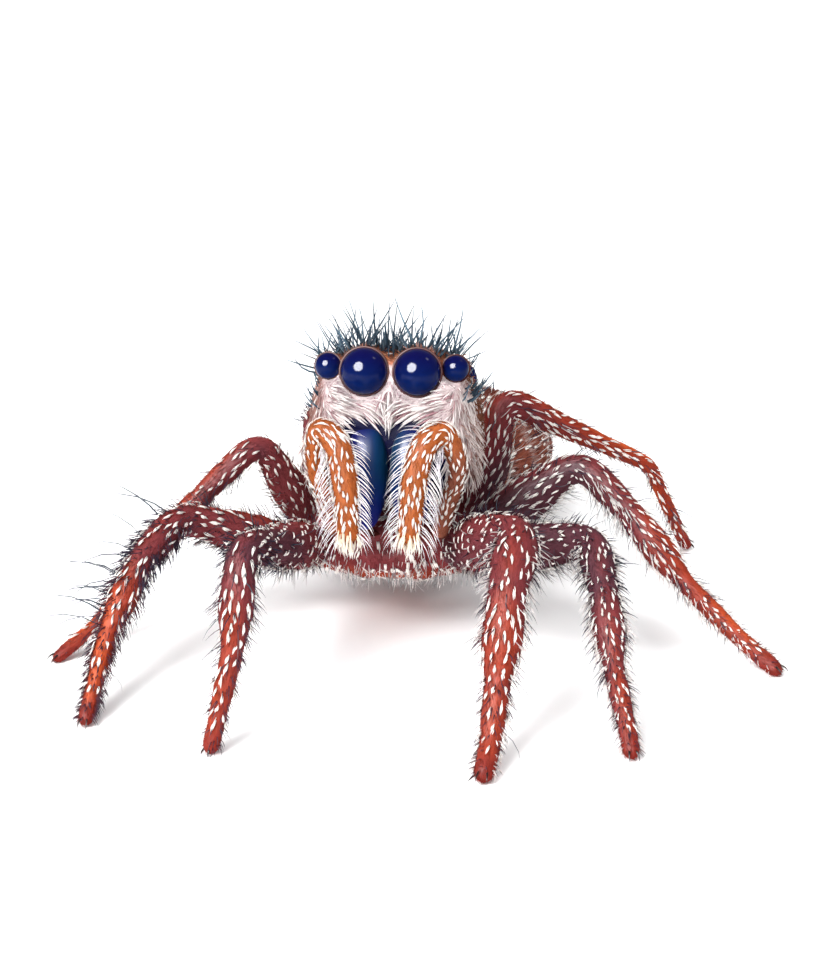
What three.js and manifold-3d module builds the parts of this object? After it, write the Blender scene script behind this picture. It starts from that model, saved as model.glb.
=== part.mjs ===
// A jumping spider (an adult female regal jumping spider), life size, standing still with her head
// raised and her abdomen swung a little to her left.
// Millimetres, +Z up. She faces -Y, so +X is her left side. The floor is z = 0.
//
// The head-and-chest (prosoma) is modelled level in a frame of its own, whose XY plane holds the leg
// roots, and that frame is then tipped nose up. Each leg is worked out in the world frame from its
// slopes, as one smooth tube that thin cuts part into its segments.

import * as THREE from "three";
import Module from "manifold-3d";
import { mergeVertices } from "three/addons/utils/BufferGeometryUtils.js";

const wasm = await Module();
wasm.setup();

const DEG = Math.PI / 180;

// ---------------------------------------------------------------- driving dimensions

const GAP = 0.08; // width of the thin cut between pieces that touch
const PROSOMA_PITCH = 17.5 * DEG;
const PROSOMA_HEIGHT = 2.45; // leg roots above the floor

const CARAPACE = {
  halfLength: 3.6,
  rimHeight: 0.95,
  halfWidths: [2.26, 2.42, 2.58, 2.62, 2.0], // face to rear
  roofHeights: [5.2, 5.38, 5.5, 5.25, 4.2, 2.8, 1.9],
  widestShare: 0.42, // where it is widest, as a share of the way up from the rim
  boxyReach: [0.35, 0.65], // shares of its length between which the face's shape fades out
  ends: [6, 2.4], // how boxy the face and the rear end are
  corners: [0.52, 0.85], // powers that square the cross-section there, 1 leaving it round
  shoulder: { narrowing: 0.08, heights: [3.4, 5.6] },
  skirt: { narrowing: 0.05, heights: [0.6, 2] },
  cheek: { swelling: 0.1, heights: [2.2, 3.6], reach: [0.1, 0.4] },
  clypeusEdge: 3.2,
  retreat: { slope: 0.42, reach: [0.05, 0.45] }, // the front draws back below the clypeus
  fineness: [22, 13],
};

// Eyes of the left side: place of the centre and radius.
const EYES = {
  anterior_median: { at: [0.745, -3.14, 4.71], radius: 0.69, fineness: [14, 8] },
  anterior_lateral: { at: [1.8, -2.74, 4.84], radius: 0.39, fineness: [10, 7] },
  posterior_median: { at: [2.14, -1.4, 4.75], radius: 0.17, fineness: [7, 5] },
  posterior_lateral: { at: [2.0, 0.1, 4.55], radius: 0.32, fineness: [8, 6] },
};

const CHELICERA = {
  at: [0.64, -3.02, 1.74],
  halfSize: [0.6, 0.76, 1.5],
  corner: 0.72, // the power that squares it, 1 leaving it round
  splay: 3 * DEG,
  fineness: [10, 8],
};
// The fang leaves the chelicera above its end, dips below it and hooks inwards.
const FANG = { rise: 0.45, dip: 0.12, hook: 0.4, rootRadius: 0.27, tipRadius: 0.12 };

const STERNUM = { at: [0, 0, -0.78], halfSize: [1.5, 2.4, 0.6], fineness: [12, 7] };
const MEMBRANE = { at: [0, 0, 0.06], halfSize: [2.2, 2.9, 0.8], fineness: [12, 7] };
const COXA = { innerShare: 0.35, innerHeight: -0.7, innerRadius: 0.7, outerRadius: 0.56 };
const MOUTH_PART = { at: [0.5, -2.5, -0.46], halfSize: [0.44, 0.6, 0.52], fineness: [8, 6] };

// The palp's femur bows outwards up to its knee, and the rest hangs down before the chelicera.
const PALP = {
  path: [[1.4, -3.0, 0.1], [1.72, -3.5, 1.1], [1.98, -3.95, 2.15], [1.68, -4.38, 3.08],
    [1.2, -4.74, 2.72], [0.97, -4.8, 1.85], [0.88, -4.78, 0.9], [0.82, -4.7, 0.0]],
  radii: [0.27, 0.26, 0.27, 0.31, 0.38, 0.38, 0.35, 0.3],
  knee: 0.49, // share of its length
  cut: 0.018,
  swing: -0.12, // from the knee on, both hang a little to the right
  kneePoint: 3,
  tipRounding: 0.1,
};

const ABDOMEN = {
  halfSize: [3.05, 4.1, 2.1],
  yaw: 20 * DEG,
  centreHeight: 2.3,
  frontGap: 0.4, // from the carapace to the abdomen, bridged by the pedicel
  droop: 1.45,
  taper: 0.13,
  fineness: [18, 13],
};
const PEDICEL = { radius: 0.36, height: 0.75, reach: [-0.5, 1.25] };
const SPINNERET = {
  start: 0.86, // share of the abdomen's half length
  length: 1.15,
  rootRadius: 0.34,
  tipRadius: 0.2,
  halfSpread: [0.2, 0.12],
  flare: 1.6,
};

// Leg pairs, front to back. Roots are in the prosoma frame, on the left. Lengths run femur (with
// its trochanter), patella, tibia, metatarsus, tarsus. Joint radii start at the root and end at
// the foot, and middle radii are half way along each segment.
const LEG_PAIRS = [
  {
    root: [2.0, -2.1, -0.3],
    coxaAzimuth: 38,
    lengths: [4.2, 2.1, 2.6, 1.5, 0.95],
    jointRadii: [0.52, 0.56, 0.54, 0.39, 0.33, 0.3],
    middleRadii: [0.67, 0.63, 0.58, 0.38, 0.33],
  },
  {
    root: [2.55, -0.8, -0.55],
    coxaAzimuth: 72,
    lengths: [4.2, 2.1, 2.4, 1.5, 0.95],
    jointRadii: [0.48, 0.5, 0.46, 0.33, 0.3, 0.28],
    middleRadii: [0.62, 0.54, 0.5, 0.34, 0.3],
  },
  {
    root: [2.55, 0.6, 0.0],
    coxaAzimuth: 105,
    lengths: [3.6, 2.1, 2.75, 2.3, 1.45],
    jointRadii: [0.46, 0.44, 0.43, 0.32, 0.29, 0.28],
    middleRadii: [0.6, 0.47, 0.51, 0.33, 0.3],
  },
  {
    root: [2.0, 1.9, 0.1],
    coxaAzimuth: 140,
    lengths: [4.0, 2.3, 2.9, 2.2, 1.2],
    jointRadii: [0.46, 0.46, 0.38, 0.28, 0.26, 0.25],
    middleRadii: [0.74, 0.43, 0.32, 0.26, 0.25],
  },
];

// The stance in degrees, front to back: azimuths (0 is forwards, 90 straight out) of the femur, of
// the patella and tibia, and of the rest, then slopes of the femur, patella, tibia and metatarsus.
// The tarsus takes the slope that brings its end to the floor. Girth scales the radii.
const STANCE = {
  left: [
    { azimuths: [28, -8, -8], slopes: [26, -18, -58, -50], girth: 1.02 },
    { azimuths: [54, 9, 13], slopes: [21, -18, -37, -32], girth: 0.98 },
    { azimuths: [95, 56, 42], slopes: [38, -34, -41, -22], girth: 1.0 },
    { azimuths: [138, 104, 124], slopes: [66, -29, -27, -63], girth: 1.0 },
  ],
  right: [
    { azimuths: [16, 9, 36], slopes: [21, 16, -67, -69], girth: 0.88 },
    { azimuths: [60, 23, 8], slopes: [24, -15, -41, -41], girth: 0.9 },
    { azimuths: [50, 64, 42], slopes: [61, -39, -45, -38], girth: 0.84 },
    { azimuths: [164, 178, 178], slopes: [27, -8, -32, -38], girth: 1.0 },
  ],
};
const SEGMENTS = ["femur", "patella", "tibia", "metatarsus", "tarsus"];
const SEGMENT_TURNS = [0, 1, 1, 2, 2]; // which azimuth each segment takes
const SEGMENT_DEPTHS = [1.24, 1.06, 1.04, 1, 1]; // depth from top to underside, over the breadth
const TROCHANTER = 0.45; // straight run of the root before it turns
const BENDS = [0.4, 0.75, 0.5, 0.4, 0.3]; // start of the rounding, to either side of each joint
const FOOT_FLAT_DEPTH = 0.07; // how much of the round foot the floor takes off
const FLOOR_CUTTER = { side: 60, depth: 4 };
const LEG_SIDES = 8;
const SEGMENT_RINGS = [4, 5, 4, 3, 4];

// ---------------------------------------------------------------- materials

const FINISHES = {
  leg: { color: 0xb03a28, roughness: 0.6 },
  femur: { color: 0x5f232d, roughness: 0.6 },
  foot: { color: 0x96302c, roughness: 0.6 },
  head: { color: 0xd9c8bd, roughness: 0.7 },
  under: { color: 0x8c3429, roughness: 0.7 },
  palp: { color: 0xd66e2d, roughness: 0.6 },
  chelicera: { color: 0x141c5a, roughness: 0.25 },
  eye: { color: 0x070a1c, roughness: 0.05 },
  abdomen: { color: 0xc8552b, roughness: 0.7 },
};

function materialOf(name) {
  return new THREE.MeshStandardMaterial({ ...FINISHES[name], metalness: 0 });
}

// ---------------------------------------------------------------- helpers

const { lerp, smoothstep, clamp } = THREE.MathUtils;
const UP = new THREE.Vector3(0, 0, 1);
const FORWARD = new THREE.Vector3(0, -1, 0);
const DOME_END = 0.97; // a dome stops just short of its pole, in a small flat
const WELD_DISTANCE = 1e-4;

const onSide = ([x, y, z], side) => new THREE.Vector3(x * side, y, z);
const signedPower = (value, exponent) => Math.sign(value) * Math.abs(value) ** exponent;
const fading = (value, [full, none]) => 1 - smoothstep(value, full, none);

// The value at t in 0..1 of an eased line through evenly spaced values.
function along(values, t) {
  const reach = clamp(t, 0, 1) * (values.length - 1);
  const step = Math.min(Math.floor(reach), values.length - 2);
  return lerp(values[step], values[step + 1], smoothstep(reach - step, 0, 1));
}

// The value at t in 0..1 of a smooth curve through evenly spaced values.
function through(values, t) {
  const last = values.length - 1;
  const reach = clamp(t, 0, 1) * last;
  const step = Math.min(Math.floor(reach), last - 1);
  const share = reach - step;
  const [before, start, end, after] = [-1, 0, 1, 2].map((i) => values[clamp(step + i, 0, last)]);
  const out = (end - before) / 2;
  const into = (after - start) / 2;
  const bend = 3 * (end - start) - 2 * out - into + share * (2 * (start - end) + out + into);
  return start + share * (out + share * bend);
}

function welded(geometry) {
  geometry.deleteAttribute("normal");
  geometry.deleteAttribute("uv");
  return mergeVertices(geometry, WELD_DISTANCE);
}

// Moves every vertex of a closed three.js geometry and keeps its faces.
function reshape(geometry, place) {
  const positions = geometry.getAttribute("position");
  const point = new THREE.Vector3();
  for (let i = 0; i < positions.count; i += 1) {
    const moved = place(point.fromBufferAttribute(positions, i));
    positions.setXYZ(i, moved.x, moved.y, moved.z);
  }
  return welded(geometry);
}

function solidOf(geometry) {
  const vertProperties = new Float32Array(geometry.getAttribute("position").array);
  const triVerts = new Uint32Array(geometry.getIndex().array);
  return new wasm.Manifold(new wasm.Mesh({ numProp: 3, vertProperties, triVerts }));
}

function geometryOf(solid) {
  const mesh = solid.getMesh();
  const geometry = new THREE.BufferGeometry();
  geometry.setAttribute("position", new THREE.BufferAttribute(mesh.vertProperties, 3));
  geometry.setIndex(new THREE.BufferAttribute(mesh.triVerts, 1));
  return geometry;
}

function ellipsoid({ at, halfSize, fineness }, side, growth) {
  const sphere = welded(new THREE.SphereGeometry(1, ...fineness));
  sphere.rotateX(90 * DEG);
  sphere.scale(...halfSize.map((half) => half + growth));
  return sphere.translate(...onSide(at, side));
}

// A closed tube along part of a three.js curve, reshaped from a cylinder whose rings crowd towards
// its ends. The last roundShare of it closes as a dome. The curve never runs along reference.
function sweep({
  curve, from = 0, to = 1, radiusAt, depth = 1, sides, rings, roundShare = 0, reference,
}) {
  const cylinder = new THREE.CylinderGeometry(1, 1, 1, sides, rings);
  return reshape(cylinder, (point) => {
    const t = 0.5 - 0.5 * Math.cos(Math.PI * (0.5 - point.y));
    const place = lerp(from, to, t);
    const ahead = curve.getTangentAt(place);
    const across = new THREE.Vector3().crossVectors(ahead, reference).normalize();
    const over = new THREE.Vector3().crossVectors(ahead, across);
    const intoDome = roundShare ? clamp(1 - (1 - t) / roundShare, 0, DOME_END) : 0;
    const radius = radiusAt(t) * Math.sqrt(1 - intoDome ** 2);
    return curve.getPointAt(place)
      .addScaledVector(across, point.x * radius)
      .addScaledVector(over, point.z * radius * depth);
  });
}

const model = new THREE.Group();
const prosoma = new THREE.Group();
prosoma.position.z = PROSOMA_HEIGHT;
prosoma.rotation.x = -PROSOMA_PITCH;
model.add(prosoma);
model.updateMatrixWorld(true);
const intoProsoma = prosoma.matrixWorld.clone().invert();

function addPiece(parent, name, geometry, finish) {
  const mesh = new THREE.Mesh(geometry, materialOf(finish));
  mesh.name = name;
  parent.add(mesh);
}

const SIDES = [["left", 1], ["right", -1]];

// Slightly grown copies of the pieces that sit in the carapace, the underside or the abdomen, in
// the prosoma frame, which cut their sockets.
const headSockets = [];
const underSockets = [];

// ---------------------------------------------------------------- eyes

for (const [kind, eye] of Object.entries(EYES)) {
  const ball = { ...eye, halfSize: Array(3).fill(eye.radius) };
  for (const [sideName, side] of SIDES) {
    addPiece(prosoma, `eye_${kind}_${sideName}`, ellipsoid(ball, side, 0), "eye");
    headSockets.push(solidOf(ellipsoid(ball, side, GAP)));
  }
}

// ---------------------------------------------------------------- chelicerae

function cheliceraSolid(side, growth) {
  const centre = onSide(CHELICERA.at, side);
  const [width, depth, height] = CHELICERA.halfSize.map((half) => half + growth);
  const boxy = ({ x, y, z }) => {
    const [across, deep, high] = [x, y, z].map((value) => signedPower(value, CHELICERA.corner));
    return new THREE.Vector3(across * width, deep * depth, high * height);
  };
  const base = reshape(new THREE.SphereGeometry(1, ...CHELICERA.fineness).rotateX(90 * DEG), boxy);
  base.rotateY(side * -CHELICERA.splay);
  base.translate(centre.x, centre.y, centre.z);
  const bottom = centre.z - CHELICERA.halfSize[2];
  const { rise, dip, hook } = FANG;
  const fang = sweep({
    curve: new THREE.QuadraticBezierCurve3(
      new THREE.Vector3(centre.x, centre.y, bottom + rise),
      new THREE.Vector3(centre.x, centre.y, bottom - dip),
      new THREE.Vector3(centre.x - side * hook, centre.y + hook / 2, bottom - dip),
    ),
    radiusAt: (t) => lerp(FANG.rootRadius, FANG.tipRadius, t) + growth,
    sides: 8,
    rings: 4,
    reference: FORWARD,
  });
  return solidOf(base).add(solidOf(fang));
}

for (const [sideName, side] of SIDES) {
  addPiece(prosoma, `chelicera_${sideName}`, geometryOf(cheliceraSolid(side, 0)), "chelicera");
  headSockets.push(cheliceraSolid(side, GAP));
  underSockets.push(cheliceraSolid(side, GAP));
}

// ---------------------------------------------------------------- palps

function palpTube(side, from, to, growth) {
  const points = PALP.path.map((point) => onSide(point, side));
  points.slice(PALP.kneePoint).forEach((point) => point.setX(point.x + PALP.swing));
  return sweep({
    curve: new THREE.CatmullRomCurve3(points),
    from,
    to,
    radiusAt: (t) => along(PALP.radii, lerp(from, to, t)) + growth,
    sides: 8,
    rings: 7,
    roundShare: to === 1 ? PALP.tipRounding : 0,
    reference: FORWARD,
  });
}

for (const [sideName, side] of SIDES) {
  const femurEnd = PALP.knee - PALP.cut;
  addPiece(prosoma, `palp_femur_${sideName}`, palpTube(side, 0, femurEnd, 0), "palp");
  addPiece(prosoma, `palp_tip_${sideName}`, palpTube(side, PALP.knee, 1, 0), "palp");
  underSockets.push(solidOf(palpTube(side, 0, femurEnd, GAP)));
}

// ---------------------------------------------------------------- legs

function direction(side, azimuth, slope) {
  const level = Math.cos(slope * DEG);
  const turn = azimuth * DEG;
  return new THREE.Vector3(
    side * Math.sin(turn) * level,
    -Math.cos(turn) * level,
    Math.sin(slope * DEG),
  );
}

// The leg's joints in the world frame, from the start of its trochanter to the end of its foot.
function legJoints(pair, stance, side) {
  const outward = direction(side, pair.coxaAzimuth, 0);
  const root = onSide(pair.root, side);
  const joints = [root.clone().addScaledVector(outward, -TROCHANTER), root];
  joints.forEach((joint) => prosoma.localToWorld(joint));
  const footRadius = pair.jointRadii.at(-1) * stance.girth;
  pair.lengths.forEach((length, i) => {
    const last = joints.at(-1);
    const drop = footRadius - FOOT_FLAT_DEPTH - last.z;
    const slope = stance.slopes[i] ?? Math.asin(drop / length) / DEG;
    const run = i === SEGMENTS.length - 1 ? length + footRadius : length;
    const way = direction(side, stance.azimuths[SEGMENT_TURNS[i]], slope);
    joints.push(last.clone().addScaledVector(way, run));
  });
  return joints;
}

// A line through the joints, rounded at each, and the shares of its length at which they lie.
function legCurve(joints) {
  const curve = new THREE.CurvePath();
  const stops = [0];
  let start = joints[0];
  for (let i = 1; i < joints.length - 1; i += 1) {
    const [last, joint, next] = joints.slice(i - 1, i + 2);
    const before = joint.clone().lerp(last, BENDS[i - 1] / joint.distanceTo(last));
    const after = joint.clone().lerp(next, BENDS[i - 1] / joint.distanceTo(next));
    const bend = new THREE.QuadraticBezierCurve3(before, joint, after);
    curve.add(new THREE.LineCurve3(start, before));
    curve.updateArcLengths();
    stops.push(curve.getLength() + bend.getLength() / 2);
    curve.add(bend);
    start = after;
  }
  curve.add(new THREE.LineCurve3(start, joints.at(-1)));
  curve.updateArcLengths();
  const length = curve.getLength();
  return { curve, stops: [...stops, length].map((stop) => stop / length), length };
}

function legTube(leg, i, growth) {
  const { pair, stance, path } = leg;
  const isTarsus = i === SEGMENTS.length - 1;
  const radii = [pair.jointRadii[i], pair.middleRadii[i], pair.jointRadii[i + 1]];
  const cut = GAP / 2 / path.length;
  const from = path.stops[i === 0 ? 0 : i + 1] + cut;
  const to = path.stops[i + 2] - (isTarsus ? 0 : cut);
  return sweep({
    curve: path.curve,
    from,
    to,
    radiusAt: (t) => along(radii, t) * stance.girth + growth,
    depth: SEGMENT_DEPTHS[i],
    sides: LEG_SIDES,
    rings: SEGMENT_RINGS[i],
    roundShare: isTarsus ? (radii[2] * stance.girth) / ((to - from) * path.length) : 0,
    reference: UP,
  });
}

const floorCutter = solidOf(welded(
  new THREE.BoxGeometry(FLOOR_CUTTER.side, FLOOR_CUTTER.side, FLOOR_CUTTER.depth)
    .translate(0, 0, -FLOOR_CUTTER.depth / 2),
));

for (const [sideName, side] of SIDES) {
  LEG_PAIRS.forEach((pair, index) => {
    const stance = STANCE[sideName][index];
    const leg = { pair, stance, path: legCurve(legJoints(pair, stance, side)) };
    SEGMENTS.forEach((segment, i) => {
      const tube = legTube(leg, i, 0);
      const isTarsus = segment === "tarsus";
      const geometry = isTarsus ? geometryOf(solidOf(tube).subtract(floorCutter)) : tube;
      const finish = { femur: "femur", tarsus: "foot" }[segment] ?? "leg";
      addPiece(model, `leg_${index + 1}_${sideName}_${segment}`, geometry, finish);
    });
    const femurRoom = solidOf(legTube(leg, 0, GAP).applyMatrix4(intoProsoma));
    headSockets.push(femurRoom);
    underSockets.push(femurRoom);
  });
}

// ---------------------------------------------------------------- waist

const waist = prosoma.localToWorld(new THREE.Vector3(0, CARAPACE.halfLength, PEDICEL.height));
const tailward = new THREE.Vector3(Math.sin(ABDOMEN.yaw), Math.cos(ABDOMEN.yaw), 0);

function pedicelTube(growth) {
  const [start, end] = PEDICEL.reach.map((reach) => waist.clone().addScaledVector(tailward, reach));
  return sweep({
    curve: new THREE.LineCurve3(start, end),
    radiusAt: () => PEDICEL.radius + growth,
    sides: 10,
    rings: 2,
    reference: UP,
  });
}

addPiece(model, "pedicel", pedicelTube(0), "under");
headSockets.push(solidOf(pedicelTube(GAP).applyMatrix4(intoProsoma)));
underSockets.push(solidOf(pedicelTube(GAP).applyMatrix4(intoProsoma)));

// ---------------------------------------------------------------- underside

function coxaSolid(pair, side) {
  const root = onSide(pair.root, side);
  const outward = direction(side, pair.coxaAzimuth, 0);
  const start = onSide(pair.root, side).multiplyScalar(COXA.innerShare).setZ(COXA.innerHeight);
  return solidOf(sweep({
    curve: new THREE.LineCurve3(start, root.addScaledVector(outward, -TROCHANTER)),
    radiusAt: (t) => lerp(COXA.innerRadius, COXA.outerRadius, t),
    sides: 8,
    rings: 1,
    reference: UP,
  }));
}

function undersideSolid() {
  let solid = solidOf(ellipsoid(STERNUM, 1, 0)).add(solidOf(ellipsoid(MEMBRANE, 1, 0)));
  for (const [, side] of SIDES) {
    for (const pair of LEG_PAIRS) {
      solid = solid.add(coxaSolid(pair, side));
    }
    solid = solid.add(solidOf(ellipsoid(MOUTH_PART, side, 0)));
  }
  return solid;
}

const cutBy = (solid, cutters) => cutters.reduce((rest, cutter) => rest.subtract(cutter), solid);

const underside = cutBy(undersideSolid(), underSockets);
addPiece(prosoma, "sternum_and_coxae", geometryOf(underside), "under");

// ---------------------------------------------------------------- carapace

// Places a point of the unit sphere, whose +Y pole is the middle of the face, on the carapace.
function onCarapace({ x, y, z }) {
  const { rimHeight, shoulder, skirt, cheek, retreat } = CARAPACE;
  const back = (1 - y) / 2;
  const rearness = smoothstep(back, ...CARAPACE.boxyReach);
  const box = lerp(...CARAPACE.ends, rearness);
  const corner = lerp(...CARAPACE.corners, rearness);
  const size = (1 - Math.abs(y) ** box) ** (1 / box);
  const ring = Math.hypot(x, z) || 1;
  const top = through(CARAPACE.roofHeights, back);
  const middle = lerp(rimHeight, top, CARAPACE.widestShare);
  const rise = signedPower(z / ring, corner) * size;
  const height = middle + rise * (rise > 0 ? top - middle : middle - rimHeight);
  const width = along(CARAPACE.halfWidths, back)
    * (1 - shoulder.narrowing * smoothstep(height, ...shoulder.heights)
      - skirt.narrowing * fading(height, skirt.heights))
    * (1 + cheek.swelling * fading(height, cheek.heights) * fading(back, cheek.reach));
  const belowClypeus = Math.max(0, CARAPACE.clypeusEdge - height);
  return new THREE.Vector3(
    signedPower(-x / ring, corner) * size * width,
    -y * CARAPACE.halfLength + retreat.slope * belowClypeus * fading(back, retreat.reach),
    height,
  );
}

const shell = solidOf(reshape(new THREE.SphereGeometry(1, ...CARAPACE.fineness), onCarapace));
const carapace = cutBy(shell, headSockets);
addPiece(prosoma, "carapace", geometryOf(carapace), "head");

// ---------------------------------------------------------------- abdomen

const abdomenCentre = waist.clone()
  .addScaledVector(tailward, ABDOMEN.frontGap + ABDOMEN.halfSize[1])
  .setZ(ABDOMEN.centreHeight);

// Places a point of the unit sphere, whose +Y pole is the tail end, on the abdomen.
function onAbdomen({ x, y, z }) {
  const [halfWidth, halfLength, halfHeight] = ABDOMEN.halfSize;
  const fullness = 1 - ABDOMEN.taper * y;
  const drop = ABDOMEN.droop * Math.max(0, y) ** 2;
  return new THREE.Vector3(
    x * halfWidth * fullness,
    y * halfLength,
    z * halfHeight * fullness - drop,
  ).applyAxisAngle(UP, -ABDOMEN.yaw).add(abdomenCentre);
}

// The silk spinnerets, in one cluster at the tail end.
function spinneretSolid(growth) {
  const root = onAbdomen(new THREE.Vector3(0, SPINNERET.start, 0));
  const aside = new THREE.Vector3().crossVectors(tailward, UP);
  const [halfWidth, halfHeight] = SPINNERET.halfSpread;
  const cones = [[-1, 1], [1, 1], [-1, -1], [1, -1]].map(([across, over]) => {
    const offset = aside.clone().multiplyScalar(across * halfWidth)
      .addScaledVector(UP, over * halfHeight);
    const start = root.clone().add(offset);
    const end = root.clone()
      .addScaledVector(tailward, SPINNERET.length)
      .addScaledVector(offset, SPINNERET.flare);
    return solidOf(sweep({
      curve: new THREE.LineCurve3(start, end),
      radiusAt: (t) => lerp(SPINNERET.rootRadius, SPINNERET.tipRadius, t) + growth,
      sides: 6,
      rings: 2,
      reference: UP,
    }));
  });
  return cones.reduce((whole, cone) => whole.add(cone));
}

const body = solidOf(reshape(new THREE.SphereGeometry(1, ...ABDOMEN.fineness), onAbdomen));
const abdomen = cutBy(body, [solidOf(pedicelTube(GAP)), spinneretSolid(GAP)]);
addPiece(model, "abdomen", geometryOf(abdomen), "abdomen");
addPiece(model, "spinnerets", geometryOf(spinneretSolid(0)), "under");

// ---------------------------------------------------------------- origin

// The origin goes under the middle of the whole animal, on the floor.
const bounds = new THREE.Box3().setFromObject(model);
model.position.x = -(bounds.min.x + bounds.max.x) / 2;
model.position.y = -(bounds.min.y + bounds.max.y) / 2;

export default model;
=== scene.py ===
"""A furry jumping spider, modelled over its solids: one skin, glossy eyes and jaws, and a coat.

Shapes are worked out in millimetres in the world frame: the floor is z = 0, she faces -Y and +X
is her left side. Each finished mesh is scaled to metres.
"""

import math
from typing import NamedTuple

import bpy
import numpy as np
from bpy.props import FloatProperty, FloatVectorProperty, IntProperty, PointerProperty
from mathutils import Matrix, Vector
from mathutils.kdtree import KDTree


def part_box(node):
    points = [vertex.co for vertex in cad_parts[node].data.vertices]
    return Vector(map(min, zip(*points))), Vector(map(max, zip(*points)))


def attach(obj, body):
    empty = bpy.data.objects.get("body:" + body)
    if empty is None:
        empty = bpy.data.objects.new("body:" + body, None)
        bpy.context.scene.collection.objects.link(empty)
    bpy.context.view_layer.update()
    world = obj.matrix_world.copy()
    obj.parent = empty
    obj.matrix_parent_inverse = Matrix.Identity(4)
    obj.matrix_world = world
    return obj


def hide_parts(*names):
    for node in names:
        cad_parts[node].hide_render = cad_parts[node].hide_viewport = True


bl_info = {
    "name": "Jumping spider",
    "version": (1, 0, 0),
    "blender": (4, 5, 0),
    "location": "View3D > Sidebar > Spider",
    "description": "Builds a furry jumping spider over its solids, with a stage to show it on",
    "category": "Object",
}

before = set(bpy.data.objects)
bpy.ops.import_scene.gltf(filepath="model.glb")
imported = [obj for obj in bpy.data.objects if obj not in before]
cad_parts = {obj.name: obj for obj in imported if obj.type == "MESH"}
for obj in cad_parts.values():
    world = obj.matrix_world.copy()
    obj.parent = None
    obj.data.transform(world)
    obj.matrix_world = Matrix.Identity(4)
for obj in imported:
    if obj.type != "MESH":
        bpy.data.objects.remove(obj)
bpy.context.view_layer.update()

MM = 0.001
UP = np.array([0.0, 0.0, 1.0])
SIDES = {"left": 1, "right": -1}


def tone(red, green, blue):
    """A colour given as 0..255 screen values, as linear light."""
    return tuple((value / 255) ** 2.2 for value in (red, green, blue))


# ------------------------------------------------------------------ driving sizes, millimetres

PITCH = math.radians(17.5)
PROSOMA_HEIGHT = 2.45
CARAPACE = {
    "half_length": 3.6,
    "rim_height": 0.95,
    "half_widths": [2.26, 2.42, 2.58, 2.62, 2.0],
    "roof_heights": [5.2, 5.38, 5.5, 5.25, 4.2, 2.8, 1.9],
    "clypeus_edge": 3.2,
}
EYES = {
    "anterior_median": {"at": (0.745, -3.14, 4.71), "radius": 0.69, "faces": (0.03, -1, 0.02)},
    "anterior_lateral": {"at": (1.8, -2.74, 4.84), "radius": 0.39, "faces": (0.16, -1, 0.05)},
    "posterior_median": {"at": (2.14, -1.4, 4.75), "radius": 0.17, "faces": (1, -0.2, 0.3)},
    "posterior_lateral": {"at": (2.0, 0.1, 4.55), "radius": 0.32, "faces": (1, 0.35, 0.35)},
}
CHELICERA = {"at": (0.64, -3.02, 1.74), "half_size": (0.6, 0.76, 1.5), "corner": 0.72}
PALP = {
    "path": [
        (1.4, -3.0, 0.1), (1.72, -3.5, 1.1), (1.98, -3.95, 2.15), (1.68, -4.38, 3.08),
        (1.2, -4.74, 2.72), (0.97, -4.8, 1.85), (0.88, -4.78, 0.9), (0.82, -4.7, 0.0),
    ],
    "radii": [0.27, 0.26, 0.27, 0.31, 0.38, 0.38, 0.35, 0.3],
    "knee": 0.49,
    "swing": -0.12,
    "knee_point": 3,
}
ABDOMEN = {
    "half_size": (3.05, 4.1, 2.1),
    "yaw": math.radians(20),
    "centre_height": 2.3,
    "front_gap": 0.4,
    "droop": 1.45,
    "taper": 0.13,
}
PEDICEL = {"radius": 0.36, "height": 0.75, "reach": (-0.5, 1.25)}

LEG_PAIRS = [
    {
        "root": (2.0, -2.1, -0.3), "coxa_azimuth": 38,
        "lengths": [4.2, 2.1, 2.6, 1.5, 0.95],
        "joint_radii": [0.52, 0.56, 0.54, 0.39, 0.33, 0.3],
        "middle_radii": [0.67, 0.63, 0.58, 0.38, 0.33],
    },
    {
        "root": (2.55, -0.8, -0.55), "coxa_azimuth": 72,
        "lengths": [4.2, 2.1, 2.4, 1.5, 0.95],
        "joint_radii": [0.48, 0.5, 0.46, 0.33, 0.3, 0.28],
        "middle_radii": [0.62, 0.54, 0.5, 0.34, 0.3],
    },
    {
        "root": (2.55, 0.6, 0.0), "coxa_azimuth": 105,
        "lengths": [3.6, 2.1, 2.75, 2.3, 1.45],
        "joint_radii": [0.46, 0.44, 0.43, 0.32, 0.29, 0.28],
        "middle_radii": [0.6, 0.47, 0.51, 0.33, 0.3],
    },
    {
        "root": (2.0, 1.9, 0.1), "coxa_azimuth": 140,
        "lengths": [4.0, 2.3, 2.9, 2.2, 1.2],
        "joint_radii": [0.46, 0.46, 0.38, 0.28, 0.26, 0.25],
        "middle_radii": [0.74, 0.43, 0.32, 0.26, 0.25],
    },
]
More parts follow.
